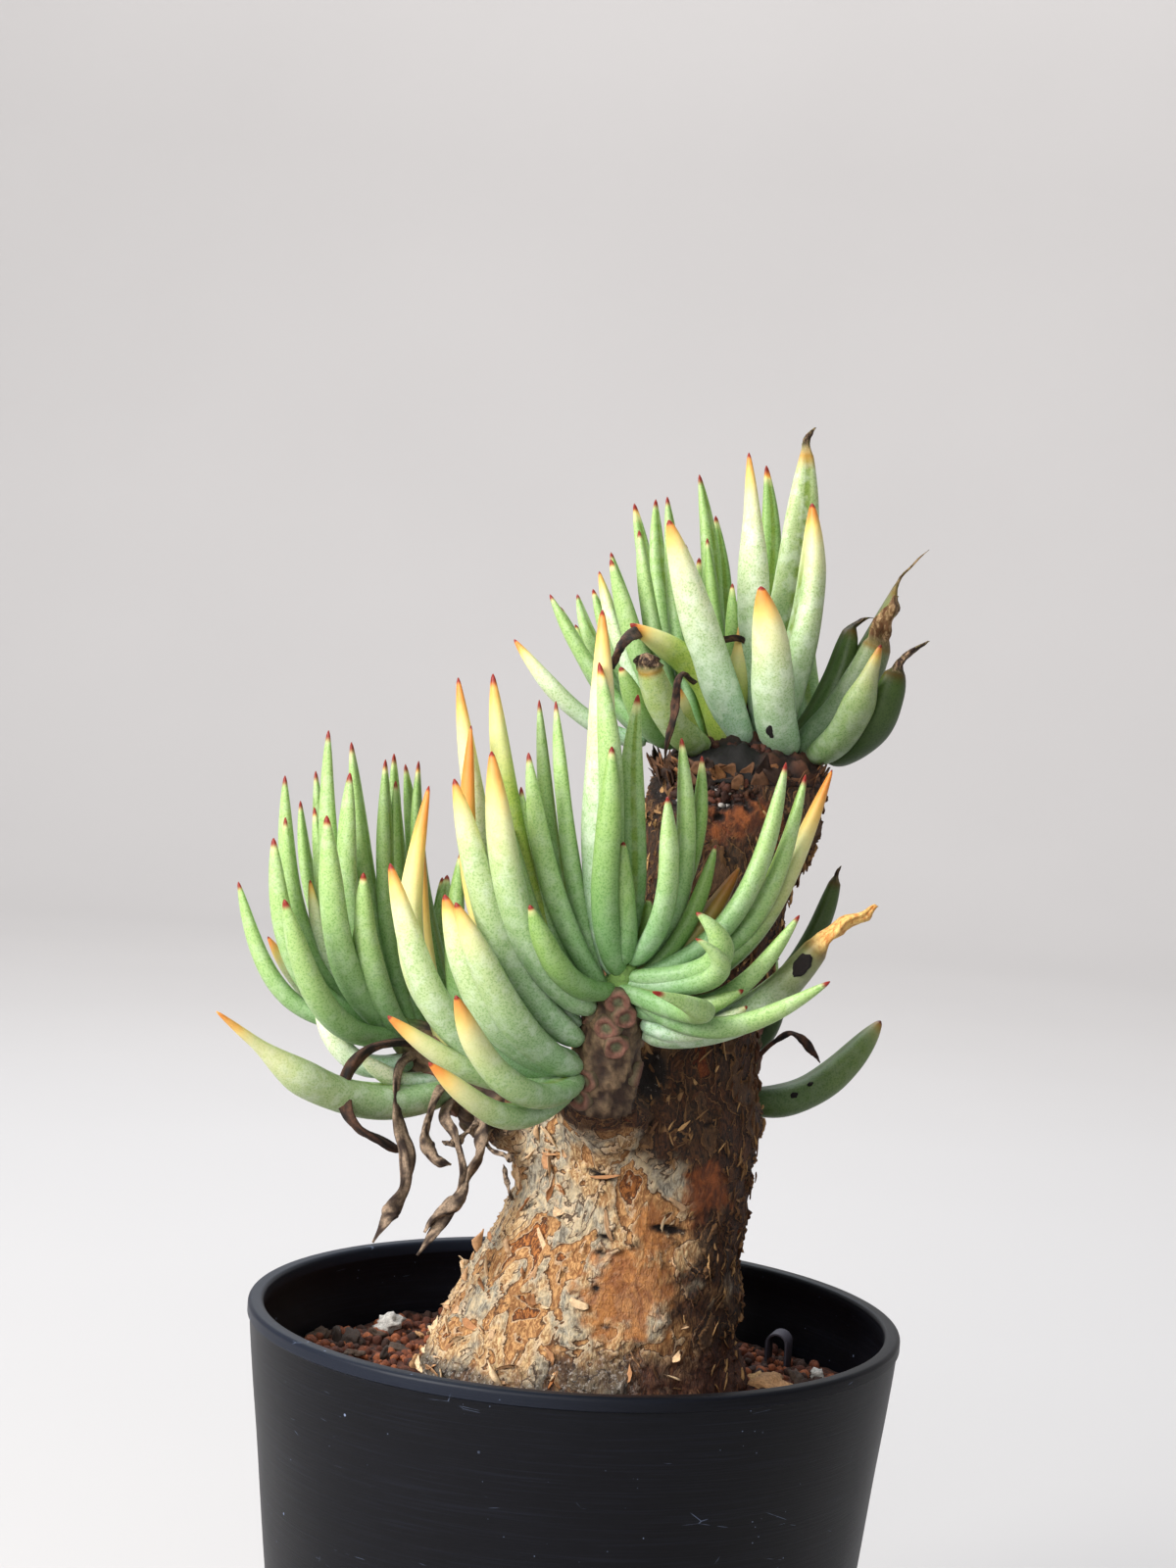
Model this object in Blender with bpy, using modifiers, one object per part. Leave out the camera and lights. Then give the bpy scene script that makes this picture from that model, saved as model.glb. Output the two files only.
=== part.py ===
"""Potted tylecodon: a swollen, flaking caudex with four leafy crowns in a round plastic nursery pot.

World frame: +Z up, origin at the centre of the pot's base, -Y is the side that the camera sees.
Sizes are named in millimetres and turned into metres where geometry is made.
"""
import math
import random

import bmesh
import bpy
from mathutils import Vector, noise

MM = 0.001
GAP = 0.3            # clearance between neighbouring pieces
MERGE = 0.0001       # merge distance of modifiers, in metres
SHARP_ANGLE = math.radians(40)

# Pot
POT_HEIGHT = 112.8
RIM_RADIUS = 60.3
LIP_WIDTH = 2.9
LIP_HEIGHT = 2.6
LIP_ROUND = 0.8
LIP_STEP = 0.3       # height of the small step from the lip's face to the wall
WALL = 1.3
POT_SIDES = 40
FOOT_RADIUS = 45.0
FOOT_WIDTH = 3.0
RECESS_HEIGHT = 2.2
RECESS_SLOPE = 0.7   # how far the recess's sides lean inward
CENTRE_DISC_RADIUS = 12.0
FLOOR_TOP = 3.6
DRAIN_COUNT = 8
DRAIN_SIDES = 10
DRAIN_RADIUS = 2.5
DRAIN_RING = 30.0
# Outer wall radius at some depths below the rim
WALL_OUTLINE = [(2.6, 59.9), (13.0, 58.8), (25.0, 57.3), (45.0, 55.0), (66.0, 52.2), (90.0, 48.4), (108.8, 45.6)]

# Soil
SOIL_TOP = 98.0
SOIL_MIDDLE = 67.0
SOIL_SIDES = 48
SOIL_RINGS = 8
SOIL_EDGE_DROP = 2.0  # the surface falls by this much at the wall
HOLE_FLOOR = 70.0
CRUMB_SIZE = 7.0
CRUMB_HEIGHT = 1.3
MOUND_SIZE = 22.0
MOUND_HEIGHT = 1.2
HEAP_PLACE = (-46.0, 8.0)
HEAP_HEIGHT = 2.0
HEAP_SPREAD = 160.0  # square millimetres

# Caudex sections: height, centre x, centre y, half width, half depth
CAUDEX = [
    (71.0, 2.0, 5.0, 12.0, 10.0),
    (82.0, 2.0, 5.0, 24.0, 20.0),
    (90.0, 2.0, 5.0, 30.0, 25.0),
    (101.0, 2.0, 5.0, 30.0, 25.0),
    (108.0, 2.4, 5.0, 27.6, 24.0),
    (120.0, 6.0, 5.0, 24.4, 22.0),
    (133.0, 9.6, 5.0, 21.6, 20.8),
    (144.0, 10.7, 5.0, 20.5, 19.5),
    (154.0, 12.6, 5.5, 18.0, 17.2),
    (164.0, 15.0, 6.0, 15.4, 15.0),
    (177.0, 17.5, 7.0, 14.9, 13.6),
    (189.0, 19.8, 8.0, 14.2, 13.2),
    (198.0, 22.6, 8.5, 15.4, 13.2),
    (206.0, 24.2, 9.0, 16.4, 13.4),
    (212.0, 24.5, 9.0, 16.0, 13.0),
]
CAUDEX_SIDES = 24
PLATE_RELIEF = 1.0   # height of the bark's peeling plates
KNOB_RELIEF = 1.3    # height of its broad lumps
SMOOTH_BELOW = 102.0  # the buried part is a plain cone in its plain hole

# Each leafy stem: where it starts, where it grows, its radius at both ends, and how far leaf roots climb
STEM_TOP = ((10.0, 8.0, 216.5), (39.5, 11.0, 214.8), 5.0, 5.0, 1.0)
STEM_FRONT = ((1.5, -24.5, 157.0), (4.6, -34.0, 180.0), 6.8, 5.0, 0.2)
STEM_LEFT = ((-17.0, 5.0, 149.5), (-38.0, 5.0, 163.0), 7.4, 5.0, 0.3)
STEM_BACK = ((27.0, 26.5, 153.0), (30.0, 31.0, 172.0), 6.0, 4.4, 0.2)
TOP_DOME_CENTRE = (25.0, 9.2, 212.3)
TOP_DOME_SIZE = (16.2, 12.0, 8.6)
DOME_SIDES = 14
DOME_LEVELS = (0.0, 0.35, 0.65, 0.9)  # shares of the dome's height
STEM_SIDES = 12
STEM_CAP = 0.7       # height of a stem's pointed cap, in end radii

# Woody branches of the caudex: the stem that each one carries and its inner point
BRANCHES = [(STEM_FRONT, (5.0, -6.0, 147.0)), (STEM_LEFT, (0.0, 4.0, 143.0)), (STEM_BACK, (22.0, 12.0, 147.0))]
BRANCH_SWELL = 1.1   # girth of a branch inside the caudex, in radii of its stem
BRANCH_STRAIGHT = 0.6  # share of a branch that keeps this girth

# Leaves that the front view shows: tip x, y, z, width, place along the stem, bow in % of length
LEAVES_TOP = [
    (33.7, 14, 280, 7.6, 0.62, 4), (34.6, 4, 264.6, 7.6, 0.64, 8), (22.2, 2, 273, 7.0, 0.72, 2),
    (25.3, -10, 248, 7.8, 0.81, 9), (8, -8, 259, 7.6, 0.56, 2), (27, 25, 273, 4.8, 0.75, 3),
    (14, 20, 270, 4.4, 0.50, 3), (18, 29, 263, 4.4, 0.60, 5), (16, 13, 257.5, 4.2, 0.62, 5),
    (12, 12, 256, 4.4, 0.44, 3), (8, 15, 265, 4.4, 0.28, 3), (6, 23, 265, 4.2, 0.24, 4),
    (2, 29, 264.4, 4.2, 0.20, 4), (3, 10, 258, 4.6, 0.20, 4), (-2, 18, 254, 4.4, 0.15, 4),
    (-2, 5, 252, 5.2, 0.17, 3), (-4, 13, 250, 4.2, 0.12, 5), (-5, 23, 247, 4.0, 0.10, 6),
    (-8, 28, 246, 4.0, 0.08, 6), (-13, 11, 245, 4.2, 0.05, 6), (-11, 18, 243, 4.0, 0.05, 8),
    (-8, 25, 240, 4.0, 0.05, 9), (-19, 5, 236, 4.6, 0.00, 10), (3.6, -4, 240, 7.0, 0.46, -18),
    (21, 7, 249, 3.6, 0.54, 3), (23, 7, 243.2, 5.0, 0.40, 3), (56, 15, 259.5, 5.4, 0.80, 3),
    (51, 5, 249, 8.2, 0.80, 8), (46.5, 15, 248, 6.6, 0.76, 8), (48, -6, 239, 6.8, 0.90, 13),
    (52.4, 0, 243.5, 7.4, 1.00, 17), (1, -5, 232, 5.0, 0.14, 10), (5.4, -12, 234.6, 6.6, 0.30, 10),
    (11.5, -8, 229, 5.4, 0.18, 6),
]
LEAVES_FRONT = [
    (-31, -30, 210, 7.0, 0.20, 26), (-36, -42, 197, 7.0, 0.20, 21), (-26.4, -44, 192.5, 8.0, 0.22, 15),
    (-24.2, -50, 191.8, 6.8, 0.18, 10), (-27, -50, 165, 5.8, 0.10, 21), (-23, -55, 177, 6.2, 0.12, 20),
    (-35, -40, 171, 5.8, 0.14, 12), (-20, -45, 217, 6.8, 0.62, 13), (-26, -44, 212, 6.6, 0.36, 9),
    (-24, -38, 221, 4.4, 0.36, 16), (-27, -32, 229, 5.8, 0.44, 8), (-21, -34, 230, 6.2, 0.54, 6),
    (-3, -36, 242, 6.4, 0.88, 3), (-3, -40, 233, 5.0, 0.96, 0), (4, -32, 228, 4.6, 0.86, 1),
    (0, -42, 219, 4.8, 0.92, 9), (-10, -32, 226, 4.2, 0.74, 3), (-13, -26, 226, 4.0, 0.62, 4),
    (-14, -38, 217, 4.8, 0.78, 7), (-15, -34, 211, 4.4, 0.66, 8), (-16, -37, 204, 4.4, 0.74, 12),
    (-12, -48, 192, 5.2, 0.84, 16), (3, -40, 203, 4.2, 1.00, 4), (6, -30, 200, 3.6, 0.94, 2),
    (8, -32, 193, 3.6, 1.00, 6), (10, -38, 211, 4.4, 1.00, 13), (12, -30, 221, 4.6, 0.90, 9),
    (16, -24, 218, 4.2, 0.80, 10), (30, -34, 218, 5.0, 0.92, 12), (34, -28, 216, 4.6, 0.84, 12),
    (39, -23, 217, 4.8, 0.76, 12), (19, -32, 203, 4.0, 0.90, 10), (23.6, -27, 199, 4.4, 0.96, 10),
    (16, -42, 192, 5.4, 0.94, 46), (16, -46, 188, 4.4, 0.88, 30), (34, -34, 192, 4.4, 0.82, 14),
    (39, -44, 182, 4.8, 0.88, 13), (9, -58, 180, 5.2, 0.86, 12), (25, -38, 179, 4.8, 0.72, 10),
    (26, -36, 176, 4.6, 0.60, 14), (44.7, -30, 199.7, 7.8, 0.50, 16),
]
LEAVES_LEFT = [
    (-67, 0, 188, 4.6, 1.00, 22), (-60, -8, 197, 5.4, 1.00, 19), (-60, 9, 200, 4.0, 0.94, 13),
    (-60, 4, 208, 5.0, 1.00, 14), (-58, 14, 203, 4.0, 0.90, 11), (-55, 10, 209, 4.4, 0.86, 9),
    (-55, 18, 203, 4.0, 0.82, 9), (-52, 0, 217, 4.8, 0.94, 8), (-50, -14, 202, 5.8, 0.90, 14),
    (-56, -20, 187, 5.8, 0.84, 18), (-48, 8, 209, 5.2, 0.80, 8), (-48, 4, 215, 4.8, 0.50, 5),
    (-50, 20, 197, 4.0, 0.72, 9), (-42, 10, 212, 4.4, 0.62, 5), (-41, 17, 213, 4.0, 0.56, 5),
    (-40, 12, 208, 4.4, 0.50, 5), (-39, 21, 211, 4.0, 0.46, 5), (-36, 14, 212, 4.0, 0.08, 5),
    (-43, -12, 192, 5.0, 0.80, 10), (-54, 2, 189, 4.4, 0.92, 12), (-44, -9, 182, 4.0, 0.96, 6),
    (-61.7, 6, 177.6, 4.2, 0.96, 14), (-34, 0, 201, 4.8, 0.20, 6), (-26.3, 2, 196, 5.0, 0.04, 6),
    (-51.5, -2, 170, 6.0, 0.50, 27), (-66, -26, 167.2, 9.0, 0.18, 19), (-42.2, -8, 158.6, 4.8, 0.30, 12),
]
LEAVES_BACK = [
    (46.5, 27, 199, 5.6, 0.80, 9), (57, 31, 166, 7.0, 0.24, 17), (40, 33, 182, 4.8, 0.90, 10),
]

# Leaves on the far side follow a rule: count, azimuth range, reach, rise, widths, seed
FAR_TOP = (12, (60, 150), (17, 28), (22, 40), (4.4, 6.4), 11)
FAR_LEFT = (8, (48, 130), (14, 24), (20, 36), (3.8, 5.0), 12)
FAR_BACK = (11, (66, 160), (12, 24), (6, 32), (4.2, 6.0), 13)
FAR_BOWS = (6, 14)
FAR_ALONG = (0.15, 0.8)      # first place along the stem, and the length over which the others spread
ALONG_STEP = 0.618           # golden steps, so that no two neighbouring leaves start alike
AZIMUTH_STEP = 0.382
AZIMUTH_START = 0.1
RIGHT_DROP = 0.6             # far leaves that lean to the right rise less by up to this share

# Withered leaves that hang under the left stem: radius, then the points that each one follows
WITHERED = [
    (1.4, [(-33, 2, 160), (-40, -9, 160), (-44, -12, 155), (-44, -14, 150), (-41, -12, 146), (-35, -8, 142)]),
    (1.6, [(-33, 2, 158), (-35, -7, 154), (-34, -10, 146), (-32, -12, 138), (-34, -14, 132), (-36, -16, 127)]),
    (1.3, [(-27, 3, 154), (-29, -8, 147), (-29, -10, 143), (-24, -11, 140)]),
    (1.3, [(-24, 3, 152), (-24, -8, 146), (-22, -10, 140), (-22, -11, 135), (-25, -13, 130), (-29, -15, 124)]),
    (1.2, [(-20, 3, 150), (-19, -8, 144), (-19, -10, 139), (-22, -12, 134), (-26, -14, 128)]),
]
WITHERED_SIDES = 4
WITHERED_END = 0.6   # girth of the last section, as a share of the full one

# Folded black plastic stub of a plant label, standing in the soil
STUB_PLACE = (41.0, 22.0)
STUB_WIDTH = 5.0
STUB_THICKNESS = 1.0
STUB_LEG_GAP = 2.4
STUB_TOP = 103.8
STUB_BOTTOM = 91.0
STUB_TURN = math.radians(25)

# Leaf form: share of the length and of the full width at each cross-section
LEAF_SECTIONS = [(0.0, 0.78), (0.16, 0.96), (0.42, 1.03), (0.70, 0.92), (0.90, 0.57)]
LEAF_PROFILE = [(-0.5, 0.18), (-0.31, -0.40), (0.31, -0.40), (0.5, 0.18), (0.0, 0.08)]
LEAF_ROOT_DEPTH = 0.72
LEAF_STEP = 0.02      # small step along the curve that gives a section's direction
BOW_NEAR_ROOT = 1.45  # how much of the bow the two inner control points take
BOW_NEAR_TIP = 0.65
MIDDLE_PULL = 0.375   # part of an inner control point's offset that reaches the middle of the curve
FRONT_SAG = 0.9       # the front crown's tips hang this much below the heights in its rows


def clear_scene():
    for old in list(bpy.data.objects):
        bpy.data.objects.remove(old, do_unlink=True)


def make_collection(name):
    collection = bpy.data.collections.new(name)
    bpy.context.scene.collection.children.link(collection)
    return collection


def make_material(name, colour, roughness):
    material = bpy.data.materials.new(name)
    material.use_nodes = True
    shader = material.node_tree.nodes["Principled BSDF"]
    shader.inputs["Base Color"].default_value = (*colour, 1.0)
    shader.inputs["Roughness"].default_value = roughness
    shader.inputs["Metallic"].default_value = 0.0
    return material


def finish_mesh(mesh):
    """Outward faces on a hand-made mesh, shaded smooth with sharp edges kept."""
    shape = bmesh.new()
    shape.from_mesh(mesh)
    bmesh.ops.recalc_face_normals(shape, faces=shape.faces)
    shape.to_mesh(mesh)
    shape.free()
    mesh.shade_smooth()
    mesh.set_sharp_from_angle(angle=SHARP_ANGLE)


def mesh_object(name, points, faces, collection):
    mesh = bpy.data.meshes.new(name)
    mesh.from_pydata([Vector(p) * MM for p in points], [], faces)
    finish_mesh(mesh)
    piece = bpy.data.objects.new(name, mesh)
    collection.objects.link(piece)
    return piece


def loft(name, rings, collection, tip=None):
    """Closed solid through rings of equal point count, with a flat end or a pointed tip."""
    sides = len(rings[0])
    points = [p for ring in rings for p in ring]
    faces = [tuple(reversed(range(sides)))]
    for level in range(len(rings) - 1):
        low = level * sides
        for i in range(sides):
            j = (i + 1) % sides
            faces.append((low + i, low + j, low + sides + j, low + sides + i))
    last = (len(rings) - 1) * sides
    if tip is None:
        faces.append(tuple(range(last, last + sides)))
    else:
        points.append(tip)
        faces += [(last + i, last + (i + 1) % sides, len(points) - 1) for i in range(sides)]
    return mesh_object(name, points, faces, collection)


def apply_modifiers(piece):
    evaluated = piece.evaluated_get(bpy.context.evaluated_depsgraph_get())
    piece.data = bpy.data.meshes.new_from_object(evaluated)
    piece.modifiers.clear()


def union_collection(piece, repeats):
    """Join a collection of closed solids to piece, then remove them."""
    join = piece.modifiers.new("join", "BOOLEAN")
    join.operation = "UNION"
    join.operand_type = "COLLECTION"
    join.collection = repeats
    join.solver = "MANIFOLD"
    bpy.context.view_layer.update()
    apply_modifiers(piece)
    for extra in list(repeats.objects):
        bpy.data.objects.remove(extra, do_unlink=True)
    bpy.data.collections.remove(repeats)


def keep_largest_body(piece):
    """Drop loose scraps that a union leaves beside the main body."""
    shape = bmesh.new()
    shape.from_mesh(piece.data)
    left = set(shape.verts)
    bodies = []
    while left:
        body = {left.pop()}
        todo = list(body)
        while todo:
            vert = todo.pop()
            for edge in vert.link_edges:
                other = edge.other_vert(vert)
                if other in left:
                    left.discard(other)
                    body.add(other)
                    todo.append(other)
        bodies.append(body)
    bodies.sort(key=len, reverse=True)
    for scrap in bodies[1:]:
        bmesh.ops.delete(shape, geom=list(scrap), context="VERTS")
    shape.to_mesh(piece.data)
    shape.free()


def add_cut(piece, cutter, cutters):
    for owner in list(cutter.users_collection):
        owner.objects.unlink(cutter)
    cutters.objects.link(cutter)
    cutter.hide_render = True
    cutter.display_type = "WIRE"
    cut = piece.modifiers.new("cut", "BOOLEAN")
    cut.operation = "DIFFERENCE"
    cut.object = cutter
    cut.solver = "EXACT"


def wall_radius(height):
    """Outer radius of the pot's wall at a height above its base."""
    depth = POT_HEIGHT - height
    rows = [(0.0, WALL_OUTLINE[0][1]), *WALL_OUTLINE, (POT_HEIGHT, FOOT_RADIUS)]
    for (d0, r0), (d1, r1) in zip(rows, rows[1:]):
        if depth <= d1:
            return r0 + (r1 - r0) * (depth - d0) / (d1 - d0)
    return FOOT_RADIUS


def make_pot(parts, cutters, material):
    """Turned thin-walled pot with a shallow lip, a foot ring, a centre disc and drain holes."""
    lip_inner = RIM_RADIUS - LIP_WIDTH
    outline = [
        (lip_inner, POT_HEIGHT - LIP_ROUND),
        (lip_inner + LIP_ROUND, POT_HEIGHT),
        (RIM_RADIUS - LIP_ROUND, POT_HEIGHT),
        (RIM_RADIUS, POT_HEIGHT - LIP_ROUND),
        (RIM_RADIUS, POT_HEIGHT - LIP_HEIGHT + LIP_STEP),
    ]
    outline += [(radius, POT_HEIGHT - depth) for depth, radius in WALL_OUTLINE]
    outline += [
        (FOOT_RADIUS, 0.0),
        (FOOT_RADIUS - FOOT_WIDTH, 0.0),
        (FOOT_RADIUS - FOOT_WIDTH - RECESS_SLOPE, RECESS_HEIGHT),
        (CENTRE_DISC_RADIUS + RECESS_SLOPE, RECESS_HEIGHT),
        (CENTRE_DISC_RADIUS, 0.0),
        (0.0, 0.0),
        (0.0, FLOOR_TOP),
        (wall_radius(FLOOR_TOP) - WALL, FLOOR_TOP),
    ]
    outline += [(radius - WALL, POT_HEIGHT - depth) for depth, radius in reversed(WALL_OUTLINE[1:-1])]
    outline += [(lip_inner, POT_HEIGHT - LIP_HEIGHT)]
    mesh = bpy.data.meshes.new("pot")
    points = [(r * MM, 0.0, z * MM) for r, z in outline]
    edges = [(i, (i + 1) % len(points)) for i in range(len(points))]
    axis_edge = outline.index((0.0, 0.0))
    edges.remove((axis_edge, axis_edge + 1))
    mesh.from_pydata(points, edges, [])
    pot = bpy.data.objects.new("pot", mesh)
    parts.objects.link(pot)
    turn = pot.modifiers.new("turn", "SCREW")
    turn.steps = POT_SIDES
    turn.render_steps = POT_SIDES
    turn.use_merge_vertices = True
    turn.merge_threshold = MERGE
    bpy.context.view_layer.update()
    apply_modifiers(pot)
    finish_mesh(pot.data)
    for i in range(DRAIN_COUNT):
        angle = 2 * math.pi * (i + 0.5) / DRAIN_COUNT
        place = (DRAIN_RING * MM * math.cos(angle), DRAIN_RING * MM * math.sin(angle), FLOOR_TOP * MM / 2)
        bpy.ops.mesh.primitive_cylinder_add(
            vertices=DRAIN_SIDES, radius=DRAIN_RADIUS * MM, depth=3 * FLOOR_TOP * MM, location=place)
        cutter = bpy.context.active_object
        cutter.name = f"drain_cutter_{i}"
        add_cut(pot, cutter, cutters)
    pot.data.materials.append(material)
    return pot


def oval(height, cx, cy, half_width, half_depth, sides):
    turns = [2 * math.pi * i / sides for i in range(sides)]
    return [(cx + half_width * math.cos(a), cy + half_depth * math.sin(a), height) for a in turns]


def soil_height(x, y):
    """Crumbly surface: soft mounds, coarse crumbs, and a heap of bark lumps at the left wall."""
    crumbs = noise.noise(Vector((x / CRUMB_SIZE, y / CRUMB_SIZE, 2.0))) * CRUMB_HEIGHT
    mounds = noise.noise(Vector((x / MOUND_SIZE, y / MOUND_SIZE, 9.0))) * MOUND_HEIGHT
    away = (x - HEAP_PLACE[0]) ** 2 + (y - HEAP_PLACE[1]) ** 2
    return SOIL_TOP + crumbs + mounds + HEAP_HEIGHT * math.exp(-away / HEAP_SPREAD)


def make_soil(parts, cutters, material):
    """Plug of soil with a plain hole for the caudex and a crumbly top."""
    _, cx, cy, half_width, half_depth = CAUDEX[2]
    hole = oval(0.0, cx, cy, half_width + GAP, half_depth + GAP, SOIL_SIDES)
    _, fx, fy, floor_width, floor_depth = CAUDEX[0]
    floor = oval(HOLE_FLOOR, fx, fy, floor_width + GAP, floor_depth + GAP, SOIL_SIDES)
    _, mx, my, mid_width, mid_depth = CAUDEX[1]
    wall_top = wall_radius(SOIL_TOP) - WALL - 2 * GAP
    bottom = FLOOR_TOP + GAP
    wall_bottom = wall_radius(bottom) - WALL - 2 * GAP
    wall_middle = wall_radius(SOIL_MIDDLE) - WALL - 2 * GAP
    circle = oval(0.0, 0.0, 0.0, wall_top, wall_top, SOIL_SIDES)
    rings = [
        oval(bottom, 0.0, 0.0, wall_bottom, wall_bottom, SOIL_SIDES),
        oval(SOIL_MIDDLE, 0.0, 0.0, wall_middle, wall_middle, SOIL_SIDES),
        [(x, y, SOIL_TOP - SOIL_EDGE_DROP) for x, y, _ in circle],
    ]
    for level in range(1, SOIL_RINGS):
        share = 1.0 - level / SOIL_RINGS
        ring = []
        for (x0, y0, _), (x1, y1, _) in zip(hole, circle):
            x = x0 + (x1 - x0) * share
            y = y0 + (y1 - y0) * share
            ring.append((x, y, soil_height(x, y)))
        rings.append(ring)
    rings.append([(x, y, SOIL_TOP) for x, y, _ in hole])
    rings.append([(x, y, CAUDEX[2][0]) for x, y, _ in hole])
    rings.append(oval(CAUDEX[1][0] - GAP, mx, my, mid_width + GAP, mid_depth + GAP, SOIL_SIDES))
    rings.append(floor)
    soil = loft("soil", rings, parts)
    bpy.ops.mesh.primitive_cube_add(size=1.0, location=stub_centre())
    slot = bpy.context.active_object
    slot.name = "label_slot_cutter"
    slot.dimensions = stub_box(2 * GAP)
    slot.rotation_euler = (0.0, 0.0, STUB_TURN)
    add_cut(soil, slot, cutters)
    soil.data.materials.append(material)
    return soil


def bark_relief(x, y, z):
    """Height of the bark's ridges, lumps and peeling plates above the smooth section."""
    if z < SMOOTH_BELOW:
        return 0.0
    plates = noise.noise(Vector((x / 8.0, y / 8.0, z / 11.0)))
    knobs = noise.noise(Vector((x / 15.0, y / 15.0, z / 17.0 + 5.0)))
    return PLATE_RELIEF * plates + KNOB_RELIEF * knobs


def caudex_ring(section):
    height, cx, cy, half_width, half_depth = section
    ring = []
    for i in range(CAUDEX_SIDES):
        angle = 2 * math.pi * i / CAUDEX_SIDES
        x = half_width * math.cos(angle)
        y = half_depth * math.sin(angle)
        relief = bark_relief(cx + x, cy + y, height)
        if height == CAUDEX[-1][0]:
            relief = 0.0
        scale = 1.0 + relief / math.hypot(x, y)
        ring.append((cx + x * scale, cy + y * scale, height))
    return ring


def stem_frame(start, end):
    along = (Vector(end) - Vector(start)).normalized()
    side = along.cross(Vector((0.0, 1.0, 0.2))).normalized()
    return along, side, side.cross(along)


def stem_ring(centre, frame, radius, sides):
    _, side, other = frame
    turns = [2 * math.pi * i / sides for i in range(sides)]
    return [tuple(centre + side * radius * math.cos(a) + other * radius * math.sin(a)) for a in turns]


def make_caudex(parts, material):
    """Swollen trunk with its buried taproot and the woody stubs that carry the leafy stems."""
    caudex = loft("caudex", [caudex_ring(section) for section in CAUDEX], parts)
    stubs = make_collection("stubs")
    for i, (stem, inner) in enumerate(BRANCHES):
        start, end, radius, _, _ = stem
        frame = stem_frame(start, end)
        seat = Vector(start) - frame[0] * GAP
        root = Vector(inner)
        thick = radius * BRANCH_SWELL
        rings = [
            stem_ring(root, stem_frame(inner, start), thick, STEM_SIDES),
            stem_ring(root.lerp(seat, BRANCH_STRAIGHT), stem_frame(inner, start), thick, STEM_SIDES),
            stem_ring(seat, frame, radius, STEM_SIDES),
        ]
        loft(f"stub_{i}", rings, stubs)
    union_collection(caudex, stubs)
    finish_mesh(caudex.data)
    caudex.data.materials.append(material)
    return caudex


def bezier(points, share):
    a, b, c, d = points
    rest = 1.0 - share
    return a * rest**3 + b * 3 * rest**2 * share + c * 3 * rest * share**2 + d * share**3


def leaf_curve(stem, row):
    """Control points of a leaf's centre line: out from the stem, bowed down and out, up to its tip."""
    start, end, radius_start, radius_end, climb = stem
    tip = Vector(row[:3])
    along, bow = row[4], row[5] / 100.0
    centre = Vector(start).lerp(Vector(end), along)
    radius = radius_start + (radius_end - radius_start) * along
    towards = tip - centre
    towards.z *= climb
    root = centre + towards.normalized() * radius * LEAF_ROOT_DEPTH
    chord = tip - root
    level = Vector((chord.x, chord.y, 0.0))
    outward = level.normalized() if level.length > 0.5 else Vector((0.0, -1.0, 0.0))
    side = chord.cross(outward) if chord.cross(outward).length > 0.1 else Vector((1.0, 0.0, 0.0))
    side.normalize()
    down = side.cross(chord).normalized()
    if down.z > 0.0:
        down = -down
        side = -side
    push = down * chord.length * bow / (MIDDLE_PULL * (BOW_NEAR_ROOT + BOW_NEAR_TIP))
    near_root = root + chord / 3 + push * BOW_NEAR_ROOT
    near_tip = root + chord * 2 / 3 + push * BOW_NEAR_TIP
    return [root, near_root, near_tip, tip], side


def make_leaf(name, stem, row, collection):
    """Fleshy leaf with a channelled upper face, narrowing to a pointed tip."""
    curve, side = leaf_curve(stem, row)
    width = row[3]
    rings = []
    for share, full in LEAF_SECTIONS:
        centre = bezier(curve, share)
        ahead = bezier(curve, share + LEAF_STEP) - centre
        upper = ahead.cross(side).normalized()
        if upper.z < 0.0 and abs(upper.z) > 0.2:
            upper = -upper
        rings.append([tuple(centre + side * a * width * full + upper * b * width * full) for a, b in LEAF_PROFILE])
    return loft(name, rings, collection, tip=tuple(curve[3]))


def far_side_leaves(stem, rule):
    """Rows for the leaves that the front view hides, spread by the golden ratio over their range."""
    count, azimuths, reach, rise, widths, seed = rule
    draw = random.Random(seed)
    start, end = Vector(stem[0]), Vector(stem[1])
    rows = []
    for i in range(count):
        along = FAR_ALONG[0] + FAR_ALONG[1] * ((i * ALONG_STEP) % 1.0)
        turn = (i * AZIMUTH_STEP + AZIMUTH_START) % 1.0
        azimuth = math.radians(azimuths[0] + (azimuths[1] - azimuths[0]) * turn)
        out = draw.uniform(*reach)
        up = draw.uniform(*rise) * (1.0 - RIGHT_DROP * max(math.cos(azimuth), 0.0))
        tip = start.lerp(end, along) + Vector((out * math.cos(azimuth), out * math.sin(azimuth), up))
        rows.append((*tip, draw.uniform(*widths), along, draw.uniform(*FAR_BOWS)))
    return rows


def make_withered(collection):
    for n, (radius, points) in enumerate(WITHERED):
        points = [Vector(p) for p in points]
        rings = []
        for i, point in enumerate(points):
            before = points[max(i - 1, 0)]
            after = points[min(i + 1, len(points) - 1)]
            full = radius * (WITHERED_END if i == len(points) - 1 else 1.0)
            rings.append(stem_ring(point, stem_frame(before, after), full, WITHERED_SIDES))
        loft(f"withered_{n}", rings, collection)


def make_stem(name, stem, parts):
    start, end, radius_start, radius_end, _ = stem
    frame = stem_frame(start, end)
    base, growth = Vector(start), Vector(end)
    rings = [
        stem_ring(base, frame, radius_start, STEM_SIDES),
        stem_ring(base.lerp(growth, 0.5), frame, (radius_start + radius_end) / 2, STEM_SIDES),
        stem_ring(growth, frame, radius_end, STEM_SIDES),
    ]
    return loft(name, rings, parts, tip=tuple(growth + frame[0] * radius_end * STEM_CAP))


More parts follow.
